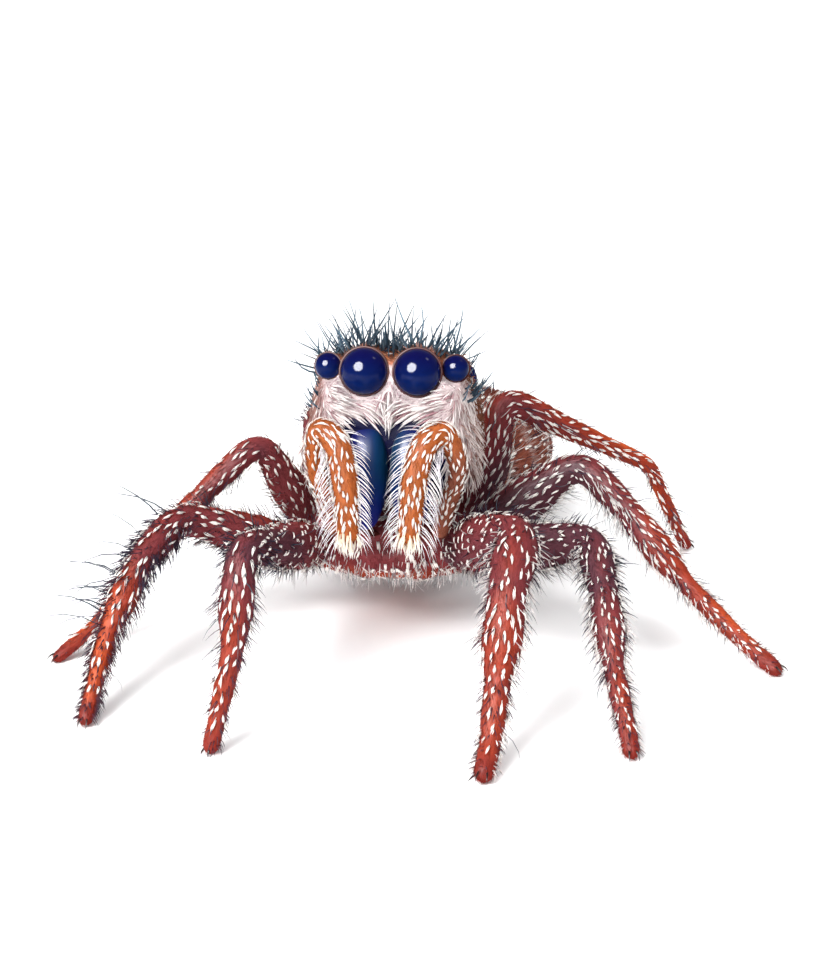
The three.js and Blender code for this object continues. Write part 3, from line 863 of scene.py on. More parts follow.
def limbs(only_side=None):
    """The palps and then the legs, of both sides or of one."""
    sides = [only_side] if only_side else SIDES
    legs = [make_leg(side, index) for side in sides for index in range(4)]
    return [*(make_palp(side) for side in sides), *legs]


class Sample:
    """Points of one part's own surface, with all that the skin and coat read from them."""

    def __init__(self, part, points, tint, share, turn, ahead, lie):
        self.points = points
        self.values = np.concatenate([
            np.full((len(points), 1), part), share[:, None], turn[:, None],
            np.broadcast_to(ahead, points.shape), lie, tint,
        ], 1)


def limb_flesh(colours, limb, depth):
    """A limb's own closed tube, its radius less the coat's depth."""
    piece, ball = ball_mesh(limb.name, 28, 150)
    s = (0.5 + np.arcsin(np.clip(ball[:, 2], -1, 1)) / math.pi) * limb.length
    phi = np.arctan2(ball[:, 1], ball[:, 0])
    radius = np.maximum(limb.at(s, "radius") - depth, 0.05)
    ends = np.minimum(s, limb.length - depth - s).clip(0) / radius
    wide = radius * np.sqrt(1 - (1 - np.minimum(1, ends)) ** 2)
    across, dorsal = limb.at(s, "across"), limb.at(s, "dorsal")
    radial = (np.cos(phi)[:, None] * across
              + np.sin(phi)[:, None] * dorsal * limb.at(s, "depth")[:, None])
    points = limb.at(s, "centre") + wide[:, None] * radial
    write_points(piece, points)
    toned = palp_tone if limb.name.startswith("palp") else leg_tone
    lie = np.stack([
        s / 5 + limb.part * PART_SPACING, wide * np.cos(phi), wide * np.sin(phi),
    ], 1)
    return piece, Sample(
        limb.part, points, toned(colours, limb, s, phi), s / limb.length,
        (phi / (2 * math.pi)) % 1, unit(limb.at(s, "ahead")), lie,
    )


def head_flow(points):
    """The lie of the fur on the head, in the prosoma frame."""
    x, y, z = points.T
    side, zero, one = np.sign(x), np.zeros_like(x), np.ones_like(x)
    backward = np.stack([zero, one, -0.15 * one], 1)
    face = (fade(y, -2.7, -2.0) * fade(z, 5.1, 5.35))[:, None]
    spread = np.abs(x) / 1.7
    high = ease(z, 3.1, 3.9)
    before_cheek = fade(np.abs(x), 1.65, 2.05)
    inward = 1.2 * ease(spread, 0, 0.3) * (0.6 + 0.4 * high) * before_cheek
    inward = inward * (0.3 + 0.7 * fade(z, 4.0, 4.4))
    drop = 1 - 0.85 * ease(spread, 0.15, 0.75) * high * before_cheek
    moustache = unit(np.stack([-side * inward, 0.1 * one, -drop], 1))
    cheek = (ease(np.abs(x), 2.0, 2.4) * fade(y, -2.4, -1.0) * fade(z, 3.8, 4.6))[:, None]
    whiskers = unit(np.stack([side * 0.05, 0.35 * one, -one], 1))
    flow = backward * (1 - face) + moustache * face
    return unit(flow * (1 - cheek) + whiskers * cheek)


def shape_flesh(piece, ball, place, depth):
    """Moves the points of a ball onto a shape and then inwards by the depth."""
    write_points(piece, place(ball))
    points = read_points(piece) - read_normals(piece) * depth
    write_points(piece, points)
    return points


def body_flesh(colours, depth):
    """The carapace, abdomen, waist and underside, each as its own closed piece."""
    pieces, samples = [], []

    def keep(piece, points, part, tint, share, turn, ahead):
        lie = points * np.array([1, 0.25, 1]) + part * PART_SPACING
        pieces.append(piece)
        samples.append(Sample(part, points, tint, share, turn, ahead, lie))

    def around(ball):
        return (np.arctan2(ball[:, 2], ball[:, 0]) / (2 * math.pi)) % 1

    def lump(name, place, size):
        piece, ball = ball_mesh(name, 40, 28)
        local = ball * np.array(size) + np.array(place)
        points = prosoma_to_world(local)
        write_points(piece, points)
        tint = mix(colours.maroon, colours.orange, fade(local[:, 2], -1.3, -0.85))
        keep(piece, points, UNDERSIDE, tint, (ball[:, 1] + 1) / 2, (ball[:, 0] + 1) / 2,
             turned(np.array([0, 0.3, -1.0]), PITCH))

    def stub(start, end, radii):
        """A short round-ended stub between two places of the prosoma frame."""
        piece, ball = ball_mesh("stub", 28, 24)
        points, local, ahead = round_ended(ball, start, end, radii)
        write_points(piece, points)
        tint = mix(colours.maroon, colours.brick, fade(local[:, 2], -1.2, -0.7))
        keep(piece, points, UNDERSIDE, tint, (ball[:, 2] + 1) / 2, (ball[:, 0] + 1) / 2,
             turned(ahead, PITCH))

    piece, ball = ball_mesh("head", 128, 96, "Y")
    points = shape_flesh(piece, ball, lambda b: prosoma_to_world(on_carapace(b)), depth)
    local = world_to_prosoma(points)
    keep(piece, points, HEAD, head_tone(colours, local), (1 - ball[:, 1]) / 2, around(ball),
         turned(head_flow(local), PITCH))

    piece, ball = ball_mesh("abdomen", 96, 80, "Y")
    points = shape_flesh(piece, ball, on_abdomen, depth)
    keep(piece, points, ABDOMEN_PART, abdomen_tone(colours, ball), (1 + ball[:, 1]) / 2,
         around(ball), TAILWARD)

    lump("sternum", (0, 0, -0.76), (1.45, 2.35, 0.58))
    lump("membrane", (0, 0, 0.06), (2.15, 2.85, 0.78))
    lump("chin", (0, -2.2, -0.52), (0.95, 0.8, 0.44))
    for side in SIDES.values():
        lump("mouth_part", on_side((0.5, -2.5, -0.46), side), (0.4, 0.55, 0.47))
        for pair in LEG_PAIRS:
            root = on_side(pair["root"], side)
            start = root * 0.35
            start[2] = -0.7
            end = root - direction(side, pair["coxa_azimuth"], 0) * TROCHANTER
            stub(start, end, (0.66, 0.52))
    waist = [WAIST + TAILWARD * reach for reach in PEDICEL["reach"]]
    stub(*[world_to_prosoma(place) for place in waist], (0.34, 0.34))
    root = on_abdomen(np.array([[0, 0.86, 0]]))[0]
    for across, over in ((-1, 1), (1, 1), (-1, -1), (1, -1)):
        offset = np.cross(TAILWARD, UP) * across * 0.2 + UP * over * 0.12
        spinneret = (root + offset, root + TAILWARD * 1.05 + offset * 1.6)
        stub(*[world_to_prosoma(place) for place in spinneret], (0.3, 0.17))
    return pieces, samples


def round_ended(ball, start, end, radii):
    """Points of a round-ended rod, in the world and in the prosoma frame, and its direction."""
    run = end - start
    ahead = unit(run)
    across = unit(np.cross(ahead, UP))
    dorsal = np.cross(across, ahead)
    t = np.clip((ball[:, 2] + 0.6) / 1.2, 0, 1)[:, None]
    beyond = np.where(np.abs(ball[:, 2]) > 0.6, np.abs(ball[:, 2]) - 0.6, 0) / 0.4
    radius = (radii[0] + (radii[1] - radii[0]) * t) * np.sqrt(1 - beyond ** 2)[:, None]
    cap = (np.sign(ball[:, 2]) * beyond)[:, None] * radii[1]
    ring = unit(ball[:, :2] + 1e-9)
    local = start + run * t + ahead * cap + radius * (ring[:, :1] * across + ring[:, 1:] * dorsal)
    return prosoma_to_world(local), local, ahead


def tubercles():
    """Low mounds in the head that the eyes sit in."""
    pieces = []
    for _, _, radius, at, facing in eyes():
        piece, ball = ball_mesh("tubercle", 32, 24)
        centre = at - facing * radius * 0.36
        write_points(piece, prosoma_to_world(ball * (radius * 1.05) + centre))
        pieces.append(piece)
    return pieces


def sink_round_eyes(points):
    """Points of the skin, drawn back round each eye so that the whole front half of it shows."""
    for _, _, radius, at, facing in eyes():
        facing = turned(facing, PITCH)
        offset = points - prosoma_to_world(at)
        axial = offset @ facing
        radial = np.linalg.norm(offset - axial[:, None] * facing, axis=1)
        limit = radius * (0.02 + 1.6 * np.maximum(0, radial / radius - 1.02))
        near = (radial < radius * 1.4) & (axial > limit) & (axial < radius * 2)
        points = points - (near * (axial - limit))[:, None] * facing
    return points


def nearest_values(samples, points):
    """What the skin and coat read at each point, blended from the three nearest samples of the
    nearest part."""
    places = np.concatenate([sample.points for sample in samples])
    values = np.concatenate([sample.values for sample in samples])
    tree = KDTree(len(places))
    for i, place in enumerate(places.tolist()):
        tree.insert(place, i)
    tree.balance()
    found = [tree.find_n(point, 3) for point in points.tolist()]
    index = np.array([[hit[1] for hit in hits] for hits in found])
    gap = np.array([[hit[2] for hit in hits] for hits in found])
    weight = 1 / (gap + 0.01)
    first = values[index[:, 0]]
    same = values[index][:, :, 0] == first[:, None, 0]
    turn_near = np.abs(values[index][:, :, 2] - first[:, None, 2]) < 0.3
    weight = weight * same
    blended = (values[index] * weight[..., None]).sum(1) / weight.sum(1)[:, None]
    blended[:, 0] = first[:, 0]
    blended[:, 2] = np.where(turn_near.all(1), blended[:, 2], first[:, 2])
    return blended


FLESH = [
    "palp_femur_left", "palp_tip_left", "palp_femur_right", "palp_tip_right", "pedicel",
    "sternum_and_coxae", "carapace", "abdomen", "spinnerets",
]
FLESH += [
    f"leg_{number}_{side}_{segment}"
    for side in SIDES for number in (1, 2, 3, 4)
    for segment in ("femur", "patella", "tibia", "metatarsus", "tarsus")
]
FLOOR_CLEARANCE = 0.012
PALP_COAT_SHARE = 0.4  # of the legs' coat depth
LENS_BACK = 0.9  # depth of a lens's hidden half over its radius
JAW_SHARE = 0.985  # of the solid's size


class BuildSkin(bpy.types.Operator):
    """Models the whole skin as one smooth mesh"""

    bl_idname = "spider.build_skin"
    bl_label = "Skin"

    def execute(self, context):
        body, colours = context.scene.spider_body, context.scene.spider_colours
        pieces, samples = body_flesh(colours, body.head_coat_depth / MM)
        for limb in limbs():
            is_palp = limb.name.startswith("palp")
            depth = body.coat_depth / MM * (PALP_COAT_SHARE if is_palp else 1)
            piece, sample = limb_flesh(colours, limb, depth)
            pieces.append(piece)
            samples.append(sample)
        skin = join(pieces + tubercles(), "skin")
        apply_modifier(
            skin, "REMESH", mode="VOXEL", voxel_size=body.fineness / MM, use_smooth_shade=True,
        )
        apply_modifier(skin, "SMOOTH", factor=0.5, iterations=body.smoothing)
        points = sink_round_eyes(read_points(skin))
        points[:, 2] = np.maximum(points[:, 2], FLOOR_CLEARANCE)
        write_points(skin, points)
        values = nearest_values(samples, points)
        on_head = values[:, 0] == HEAD
        local = world_to_prosoma(points[on_head])
        values[on_head, 3:6] = turned(head_flow(local), PITCH)
        values[on_head, 9:12] = head_tone(colours, local)
        for column, name in enumerate(("Part", "Share", "Turn")):
            write_attribute(skin, name, "FLOAT", values[:, column])
        write_attribute(skin, "Ahead", "FLOAT_VECTOR", values[:, 3:6])
        write_attribute(skin, "Lie", "FLOAT_VECTOR", values[:, 6:9])
        write_attribute(skin, "Tint", "FLOAT_COLOR", np.clip(values[:, 9:12], 0, 1))
        finish_piece(skin, skin_material(), FLESH)
        return {"FINISHED"}


# ------------------------------------------------------------------ eyes, jaws and claws


def facing_frame(facing):
    """Two directions at right angles to the one a piece faces."""
    across = unit(np.cross(facing, UP))
    return across, np.cross(across, facing)


class BuildEyes(bpy.types.Operator):
    """Models the eight lenses and the rims round them"""

    bl_idname = "spider.build_eyes"
    bl_label = "Eyes"

    def execute(self, context):
        body, colours = context.scene.spider_body, context.scene.spider_colours
        lens_finish = painted_light_material("Lens", colours.eye, colours.eye_painted_reflection, 0.1, 0.0)
        rim_finish = horn_material("Eye rim", colours.rim, 0.5)
        rims = []
        for kind, side, radius, at, facing in eyes():
            facing, centre = turned(facing, PITCH), prosoma_to_world(at)
            piece, ball = ball_mesh(f"lens_{kind}_{side}", 56, 40)
            across, over = facing_frame(facing)
            front = np.where(ball[:, 2] > 0, 1.0, LENS_BACK)[:, None]
            local = ball[:, :1] * across + ball[:, 1:2] * over + ball[:, 2:] * facing * front
            write_points(piece, centre + local * (radius * body.lens))
            # Painted reflection: each lens grows a lighter blue towards its bottom.
            glow = ease(-ball[:, 1] + 0.5 * ball[:, 2], -0.6, 1.3)
            write_attribute(piece, "Glow", "FLOAT", glow)
            finish_piece(piece, lens_finish, [f"eye_{kind}_{side}"])
            rims.append(self.rim(radius, centre, facing))
        finish_piece(join(rims, "eye_rims"), rim_finish)
        return {"FINISHED"}

    def rim(self, radius, centre, facing):
        deselect()
        bpy.ops.mesh.primitive_torus_add(
            major_radius=radius * 0.99, minor_radius=0.014 + radius * 0.03,
            major_segments=48, minor_segments=10,
        )
        ring = bpy.context.object
        across, over = facing_frame(facing)
        points = read_points(ring)
        points = points[:, :1] * across + points[:, 1:2] * over + points[:, 2:] * facing
        write_points(ring, points + centre + facing * radius * 0.03)
        return ring


class BuildJaws(bpy.types.Operator):
    """Models the two chelicerae and their fangs"""

    bl_idname = "spider.build_jaws"
    bl_label = "Jaws"

    def execute(self, context):
        colours = context.scene.spider_colours
        jaw_finish = painted_light_material("Jaw", colours.jaw, colours.jaw_glow, 0.4, 0.06)
        fang_finish = horn_material("Fang", FANG_TONE, 0.25)
        width, depth, height = CHELICERA["half_size"]
        for side_name, side in SIDES.items():
            piece, ball = ball_mesh(f"jaw_{side_name}", 64, 56)
            x, y, z = signed_power(ball, CHELICERA["corner"]).T
            narrow = 1 - 0.16 * fade(z, -1.0, 0.1)
            bulge = 1 + 0.08 * np.exp(-((z - 0.35) / 0.4) ** 2)
            local = np.stack([x * width * narrow, y * depth * narrow * bulge, z * height], 1)
            local = local * JAW_SHARE
            local[:, 0] += side * 0.04 * fade(z, -1, 0) - side * 0.02
            centre = on_side(CHELICERA["at"], side)
            write_points(piece, prosoma_to_world(local + centre))
            # Painted sheen: the teal is painted in the middle of the pair, below their tops.
            middle = fade(np.abs(local[:, 0] + centre[0]), 0.1, 0.95) * fade(z, 0.75, 1.2)
            write_attribute(piece, "Glow", "FLOAT", middle * ease(z, -0.9, 0.35))
            finish_piece(piece, jaw_finish, [f"chelicera_{side_name}"])
            fang = hook(f"fang_{side_name}", [
                centre - np.array([0, 0, height - 0.4]),
                centre - np.array([0, 0.02, height + 0.12]),
                centre - np.array([side * 0.42, -0.2, height + 0.1]),
            ], 0.24, 0.05)
            write_points(fang, prosoma_to_world(read_points(fang)))
            finish_piece(fang, fang_finish)
        return {"FINISHED"}


def hook(name, path, root_radius, tip_radius, segments=20, rings=24):
    """A curved horn along three places."""
    piece, ball = ball_mesh(name, segments, rings)
    t = (0.5 + np.arcsin(np.clip(ball[:, 2], -1, 1)) / math.pi)[:, None]
    start, middle, end = path
    ahead = unit(2 * (1 - t) * (middle - start) + 2 * t * (end - middle))
    across = unit(np.cross(ahead, np.array([0.3, -1, 0.1])))
    over = np.cross(across, ahead)
    ring = unit(ball[:, :2] + 1e-9)
    radius = (root_radius + (tip_radius - root_radius) * t) * np.sqrt(1 - t ** 8)
    radius = radius * ease(t, -0.001, 0.04)
    write_points(piece, curve(path, t) + radius * (ring[:, :1] * across - ring[:, 1:] * over))
    return piece


class BuildClaws(bpy.types.Operator):
    """Models the pair of claws at the end of each leg"""

    bl_idname = "spider.build_claws"
    bl_label = "Claws"

    def execute(self, context):
        claws = []
        for limb in limbs()[2:]:
            for aside in (-1, 1):
                s = np.array([limb.length - 0.2])
                place, normal, ahead = limb.surface(s, np.array([math.pi / 2 - aside * 0.5]))
                sideways = limb.at(s, "across")[0] * aside * 0.03
                start = place[0] - normal[0] * 0.1
                middle = start + ahead[0] * 0.2 + normal[0] * 0.08 + sideways
                tip = middle + ahead[0] * 0.14 - normal[0] * 0.12 + sideways
                tip[2] = max(tip[2], 0.03)
                claws.append(hook("claw", [start, middle, tip], 0.035, 0.006, 8, 10))
        finish_piece(join(claws, "claws"), horn_material("Claw", CLAW_TONE, 0.3))
        return {"FINISHED"}


# ------------------------------------------------------------------ coat


class Hair(NamedTuple):
    """A kind of hair: its length in millimetres, its angles off the skin in degrees at its root
    and at its tip, half its width, and how that goes from root to tip."""

    length: tuple
    rise: tuple
    fall: tuple
    half_width: float
    taper: tuple = (1.0, 0.7)
    sway: float = 0.15
    flatness: float = 0.6
    eye_margin: float = 0.0
    droop: float = 0.0


SPINDLE = (0.7, 1.0, 0.85)
SPINE = (1.0, 0.85, 0.55)
WISP = (1.0, 0.85, 0.6)
LOCK = (0.75, 1.0, 0.85, 0.5)
FEATHER = (0.8, 1.0, 0.8, 0.45)
LEG_FUR = Hair((0.13, 0.24), (5, 18), (-5, 9), 0.012)
PALP_FUR = Hair((0.12, 0.22), (8, 24), (-4, 14), 0.011)
CROWN_FUR = Hair((0.22, 0.42), (14, 32), (0, 18), 0.014, eye_margin=-0.02)
FACE_FUR = Hair((0.22, 0.36), (8, 26), (-4, 14), 0.013, eye_margin=0.01)
ABDOMEN_FUR = Hair((0.24, 0.42), (12, 32), (0, 18), 0.016)
UNDERSIDE_FUR = Hair((0.14, 0.24), (8, 26), (-2, 14), 0.013)
FLECK = Hair((0.24, 0.36), (2, 9), (-6, 2), 0.018, SPINDLE, 0.02, 0.4)
FACE_LOCK = Hair((0.45, 0.78), (10, 22), (-8, 5), 0.041, LOCK, 0.05, 0.5, 0.008, 0.25)
SIDEBURN = Hair((0.45, 0.85), (18, 34), (4, 22), 0.03, LOCK, 0.08, 0.5)
LEG_BRISTLE = Hair((0.3, 0.68), (42, 66), (12, 42), 0.0155, SPINE)
THIGH_FRINGE = Hair((0.45, 0.85), (50, 75), (30, 60), 0.016, SPINE)
LEG_SPINE = Hair((0.7, 1.2), (55, 80), (0, 35), 0.017, SPINE)
LONG_SPINE = Hair((1.6, 2.6), (80, 105), (10, 50), 0.031, (1.0, 0.9, 0.75, 0.5), 0.25)
PALP_FRINGE = Hair((0.95, 1.15), (52, 62), (12, 24), 0.022, FEATHER, 0.03)
PALP_TIP = Hair((0.4, 0.66), (15, 45), (0, 16), 0.026, FEATHER, 0.1)
BODY_BRISTLE = Hair((0.45, 0.8), (30, 60), (10, 50), 0.013, WISP, 0.4)
BELLY_FRINGE = Hair((0.35, 0.65), (30, 60), (20, 70), 0.013, WISP, 0.3)
CREST = Hair((0.5, 1.0), (44, 80), (43, 100), 0.027, (1.0, 0.95, 0.75, 0.45), 0.3, 0.9)

# The white flecks of a limb: the gaps between them across and along, their lengths and width,
# and how many blades make one.
DASHES = {
    "palp": ((0.19, 0.33), (0.17, 0.3), 0.068, 4),
    "small": ((0.26, 0.45), (0.2, 0.34), 0.064, 5),
    "large": ((0.3, 0.52), (0.24, 0.42), 0.08, 5),
}
SMALL_DASHED_LEGS = ("leg_2_left", "leg_3_left", "leg_4_left", "leg_3_right")
ROOT_DEPTH = 0.012  # of a hair's root in the skin
HAIR_CLEARANCE = 0.02  # above the floor
MAP_EDGE = 0.03  # of a part's square of the map
MOST_TRIANGLES = 200000
ROD_ANGLES = np.radians([90, 210, 330])  # the corners of a hair's section


class Strands:
    """Batches of tapered, curved, three-sided hairs that are joined into one closed mesh."""

    def __init__(self, seed):
        self.rng = np.random.default_rng(seed)
        self.batches = []

    def add(self, good, taper, flatness, **values):
        """Adds the good hairs. Each runs from root to tip, drawn towards middle, and is widest
        across normal."""
        for name, value in values.items():
            flat = name in ("wide", "part", "share", "turn")
            shape = (len(good),) if flat else (len(good), 3)
            values[name] = np.broadcast_to(np.asarray(value, float), shape)[good]
        if good.any():
            self.batches.append(dict(values, taper=taper, flatness=flatness))

    def mesh_parts(self, batch):
        """Points, faces, tints and map places of one batch."""
        count, rings = len(batch["root"]), len(batch["taper"])
        t = np.arange(rings + 1)[None, :, None] / rings
        a, b, c = (batch[key][:, None, :] for key in ("root", "middle", "tip"))
        centre = curve((a, b, c), t)
        ahead = unit((b - a) * (1 - t) + (c - b) * t + 1e-9)
        side = unit(np.cross(ahead, batch["normal"][:, None, :]))
        over = np.cross(side, ahead)
        taper = np.array(batch["taper"])[None, :, None, None]
        wide = batch["wide"][:, None, None, None] * taper
        cos = np.cos(ROD_ANGLES)[None, None, :, None]
        sin = np.sin(ROD_ANGLES)[None, None, :, None] * batch["flatness"]
        ring = centre[:, :rings, None, :] + wide * (
            cos * side[:, :rings, None, :] + sin * over[:, :rings, None, :]
        )
        per = rings * 3 + 1
        points = np.concatenate([ring.reshape(count, -1, 3), centre[:, rings:, :]], 1)
        faces = [(0, 1, 2)]
        for j in range(rings - 1):
            for i in range(3):
                p, q = j * 3 + i, j * 3 + (i + 1) % 3
                faces += [(p, p + 3, q), (q, p + 3, q + 3)]
        last = (rings - 1) * 3
        faces += [(last + i, per - 1, last + (i + 1) % 3) for i in range(3)]
        faces = np.array(faces)[None] + (np.arange(count) * per)[:, None, None]
        share = np.append(np.repeat(np.arange(rings) / rings, 3), 1.0)
        tint = mix(batch["root_tone"][:, None, :], batch["tip_tone"][:, None, :],
                   np.broadcast_to(share, (count, per)))
        offset = np.stack([
            np.append(np.tile(np.cos(ROD_ANGLES), rings), 0) * 0.5, share - 0.5,
        ], 1) * TUFT_PATCH
        part = batch["part"].astype(int)
        inside = 1 - 2 * MAP_EDGE
        place = np.stack([
            part % MAP_SQUARES + MAP_EDGE + inside * (batch["turn"] % 1),
            part // MAP_SQUARES + MAP_EDGE + inside * np.clip(batch["share"], 0, 1),
        ], 1) / MAP_SQUARES
        return (points.reshape(-1, 3), faces.reshape(-1, 3), tint.reshape(-1, 3),
                (place[:, None, :] + offset[None]).reshape(-1, 2))

    def build(self, name, material):
        made, start = [], 0
        for batch in self.batches:
            points, faces, tint, place = self.mesh_parts(batch)
            made.append((points, faces + start, tint, place))
            start += len(points)
        points, faces, tint, place = (np.concatenate(parts) for parts in zip(*made))
        if len(faces) >= MOST_TRIANGLES:
            raise RuntimeError(f"{name} has {len(faces)} triangles")
        mesh = bpy.data.meshes.new(name)
        mesh.vertices.add(len(points))
        mesh.vertices.foreach_set("co", points.astype(np.float32).ravel())
        mesh.loops.add(faces.size)
        mesh.loops.foreach_set("vertex_index", faces.astype(np.int32).ravel())
        mesh.polygons.add(len(faces))
        mesh.polygons.foreach_set("loop_start", np.arange(0, faces.size, 3, dtype=np.int32))
        mesh.update(calc_edges=True)
        piece = bpy.data.objects.new(name, mesh)
        bpy.context.collection.objects.link(piece)
        write_attribute(piece, "Tint", "FLOAT_COLOR", np.clip(tint, 0, 1))
        layer = mesh.uv_layers.new(name="OFBake")
        layer.uv.foreach_set("vector", place[faces.ravel()].astype(np.float32).ravel())
        finish_piece(piece, material)


class Skin:
    """Reads the finished skin back, for hairs to grow from."""

    def __init__(self):
        piece = bpy.data.objects["skin"]
        self.points = (read_points(piece) - model_offset()) / MM
        self.normals = read_normals(piece)
        self.part = read_attribute(piece, "Part").round().astype(int)
        self.share, self.turn, self.ahead, self.tint = (
            read_attribute(piece, name) for name in ("Share", "Turn", "Ahead", "Tint")
        )
        mesh = piece.data
        mesh.calc_loop_triangles()
        flat = np.empty(len(mesh.loop_triangles) * 3, np.int32)
        mesh.loop_triangles.foreach_get("vertices", flat)
        self.triangles = flat.reshape(-1, 3)
        a, b, c = (self.points[self.triangles[:, i]] for i in range(3))
        self.area = np.linalg.norm(np.cross(b - a, c - a), axis=1) / 2

    def scatter(self, rng, density, weight):
        """Random roots over the skin, so many to a square millimetre where weight is 1."""
        share = self.area * weight[self.triangles[:, 0]]
        total = share.sum()
        count = int(density * total)
        corners = self.triangles[rng.choice(len(share), count, p=share / total)]
        u, v = rng.random((2, count))
        over = u + v > 1
        u, v = np.where(over, 1 - u, u), np.where(over, 1 - v, v)
        weights = np.stack([1 - u - v, u, v], 1)

        def blend(values):
            return (values[corners] * weights[..., None]).sum(1)

        first = corners[:, 0]
        return {
            "root": blend(self.points), "normal": unit(blend(self.normals)),
            "tint": blend(self.tint), "ahead": unit(self.ahead[first]),
            "part": self.part[first], "share": self.share[first], "turn": self.turn[first],
        }


def eye_balls():
    centres, radii = zip(*((prosoma_to_world(at), radius) for _, _, radius, at, _ in eyes()))
    return np.array(centres), np.array(radii)


def clear_of_eyes(points, margin):
    centres, radii = eye_balls()
    gaps = np.linalg.norm(points[:, None, :] - centres[None], axis=2) - radii[None]
    return (gaps > margin).all(1)


def keep_only(roots, mask):
    return {key: value[mask] for key, value in roots.items()}


def along_skin(flow, normal):
    return unit(flow - normal * dots(flow, normal))


def round_eyes(roots, reach=0.25):
    """The lie of the hairs, turned near an eye to run past its edge and a little away from it."""
    centres, radii = eye_balls()
    offset = roots["root"][:, None, :] - centres[None]
    distance = np.linalg.norm(offset, axis=2)
    rows = np.arange(len(offset))
    nearest = (distance - radii).argmin(1)
    gap = distance[rows, nearest] - radii[nearest]
    away = along_skin(offset[rows, nearest], roots["normal"])
    near = fade(gap, 0.05, reach)[:, None]
    towards = np.minimum(dots(roots["ahead"], away), 0)
    return unit(roots["ahead"] + near * (0.4 - towards) * away)


def grow(strands, roots, hair, root_tone, tip_tone, flow=None, size=1.0):
    """Adds a hair at each root, lying along the flow or else the way its root has."""
    rng, normal = strands.rng, roots["normal"]
    count = len(normal)
    lie = along_skin(roots["ahead"] if flow is None else flow, normal)
    aside = np.cross(normal, lie)
    lie = unit(lie + aside * rng.normal(0, hair.sway, (count, 1)))
    rise = np.radians(rng.uniform(*hair.rise, count))[:, None]
    fall = np.radians(rng.uniform(*hair.fall, count))[:, None]
    size = (rng.uniform(*hair.length, count) * size)[:, None]
    first = lie * np.cos(rise) + normal * np.sin(rise)
    last = lie * np.cos(fall) + normal * np.sin(fall)
    last = unit(last + aside * rng.normal(0, hair.sway * 0.6, (count, 1)) - UP * hair.droop)
    root = roots["root"] - normal * ROOT_DEPTH
    middle = root + first * size * 0.5
    tip = middle + last * size * 0.5
    good = (tip[:, 2] > HAIR_CLEARANCE) & (middle[:, 2] > HAIR_CLEARANCE)
    for point in (root, middle, tip):
        good &= clear_of_eyes(point, hair.eye_margin)
    wide = rng.uniform(0.8, 1.2, count) * hair.half_width
    strands.add(
        good, hair.taper, hair.flatness, root=root, middle=middle, tip=tip, normal=normal,
        wide=wide, root_tone=root_tone, tip_tone=tip_tone, part=roots["part"],
        share=roots["share"], turn=roots["turn"],
    )


def short_fur(strands, skin, density, weight, hair, levels, ends):
    """Grows hairs in the skin's own colour, its level varied and shaded from root to tip."""
    roots = skin.scatter(strands.rng, density, weight)
    level = strands.rng.uniform(*levels, (len(roots["root"]), 1)) * roots["tint"]
    grow(strands, roots, hair, level * ends[0], level * ends[1])


def limb_roots(limb, rng, count, reach, facing, spread, even=False):
    """Roots over part of a limb. Facing is in degrees round it, and 90 is dorsal."""
    low, high = reach
    share = rng.uniform(low, high, count)
    if even:
        share = np.linspace(low, high, count) + rng.normal(0, 0.15, count) * ((high - low) / count)
    phi = np.radians(facing + spread * rng.uniform(-1, 1, count))
    place, normal, ahead = limb.surface(share * limb.length, phi, -0.05)
    return {
        "root": place, "normal": normal, "ahead": ahead, "tint": np.zeros((count, 3)),
        "part": np.full(count, limb.part), "share": share, "turn": phi / (2 * math.pi),
    }


def outside_body(points):
    """False for points within the head or the chest, which would grow hairs inside them."""
    x, y, z = world_to_prosoma(points).T
    half = CARAPACE["half_length"]
    head = (np.abs(x / 2.3) ** 3 + np.abs(y / half) ** 3 + np.abs((z - 2.9) / 2.3) ** 3) < 1
    chest = (x / 2.2) ** 2 + (y / 2.8) ** 2 + ((z - 0.2) / 1.0) ** 2 < 1
    return ~(head | chest)


def dash_field(limb, rng, reach, pitch_across, pitch_along):
    """Staggered rows of places over a limb."""
    s_places, phi_places = [], []
    s = reach[0] * limb.length
    row = 0
    while s < reach[1] * limb.length:
        radius = float(limb.at(s, "radius"))
        count = max(5, round(2 * math.pi * radius / pitch_across))
        turn = (np.arange(count) + 0.5 * (row % 2)) / count
        turn = turn + rng.uniform(-0.3, 0.3, count) / count
        s_places.append(s + rng.uniform(-0.2, 0.2, count) * pitch_along)
        phi_places.append(turn * 2 * math.pi)
        s += pitch_along * 0.56
        row += 1
    return np.concatenate(s_places), np.concatenate(phi_places)


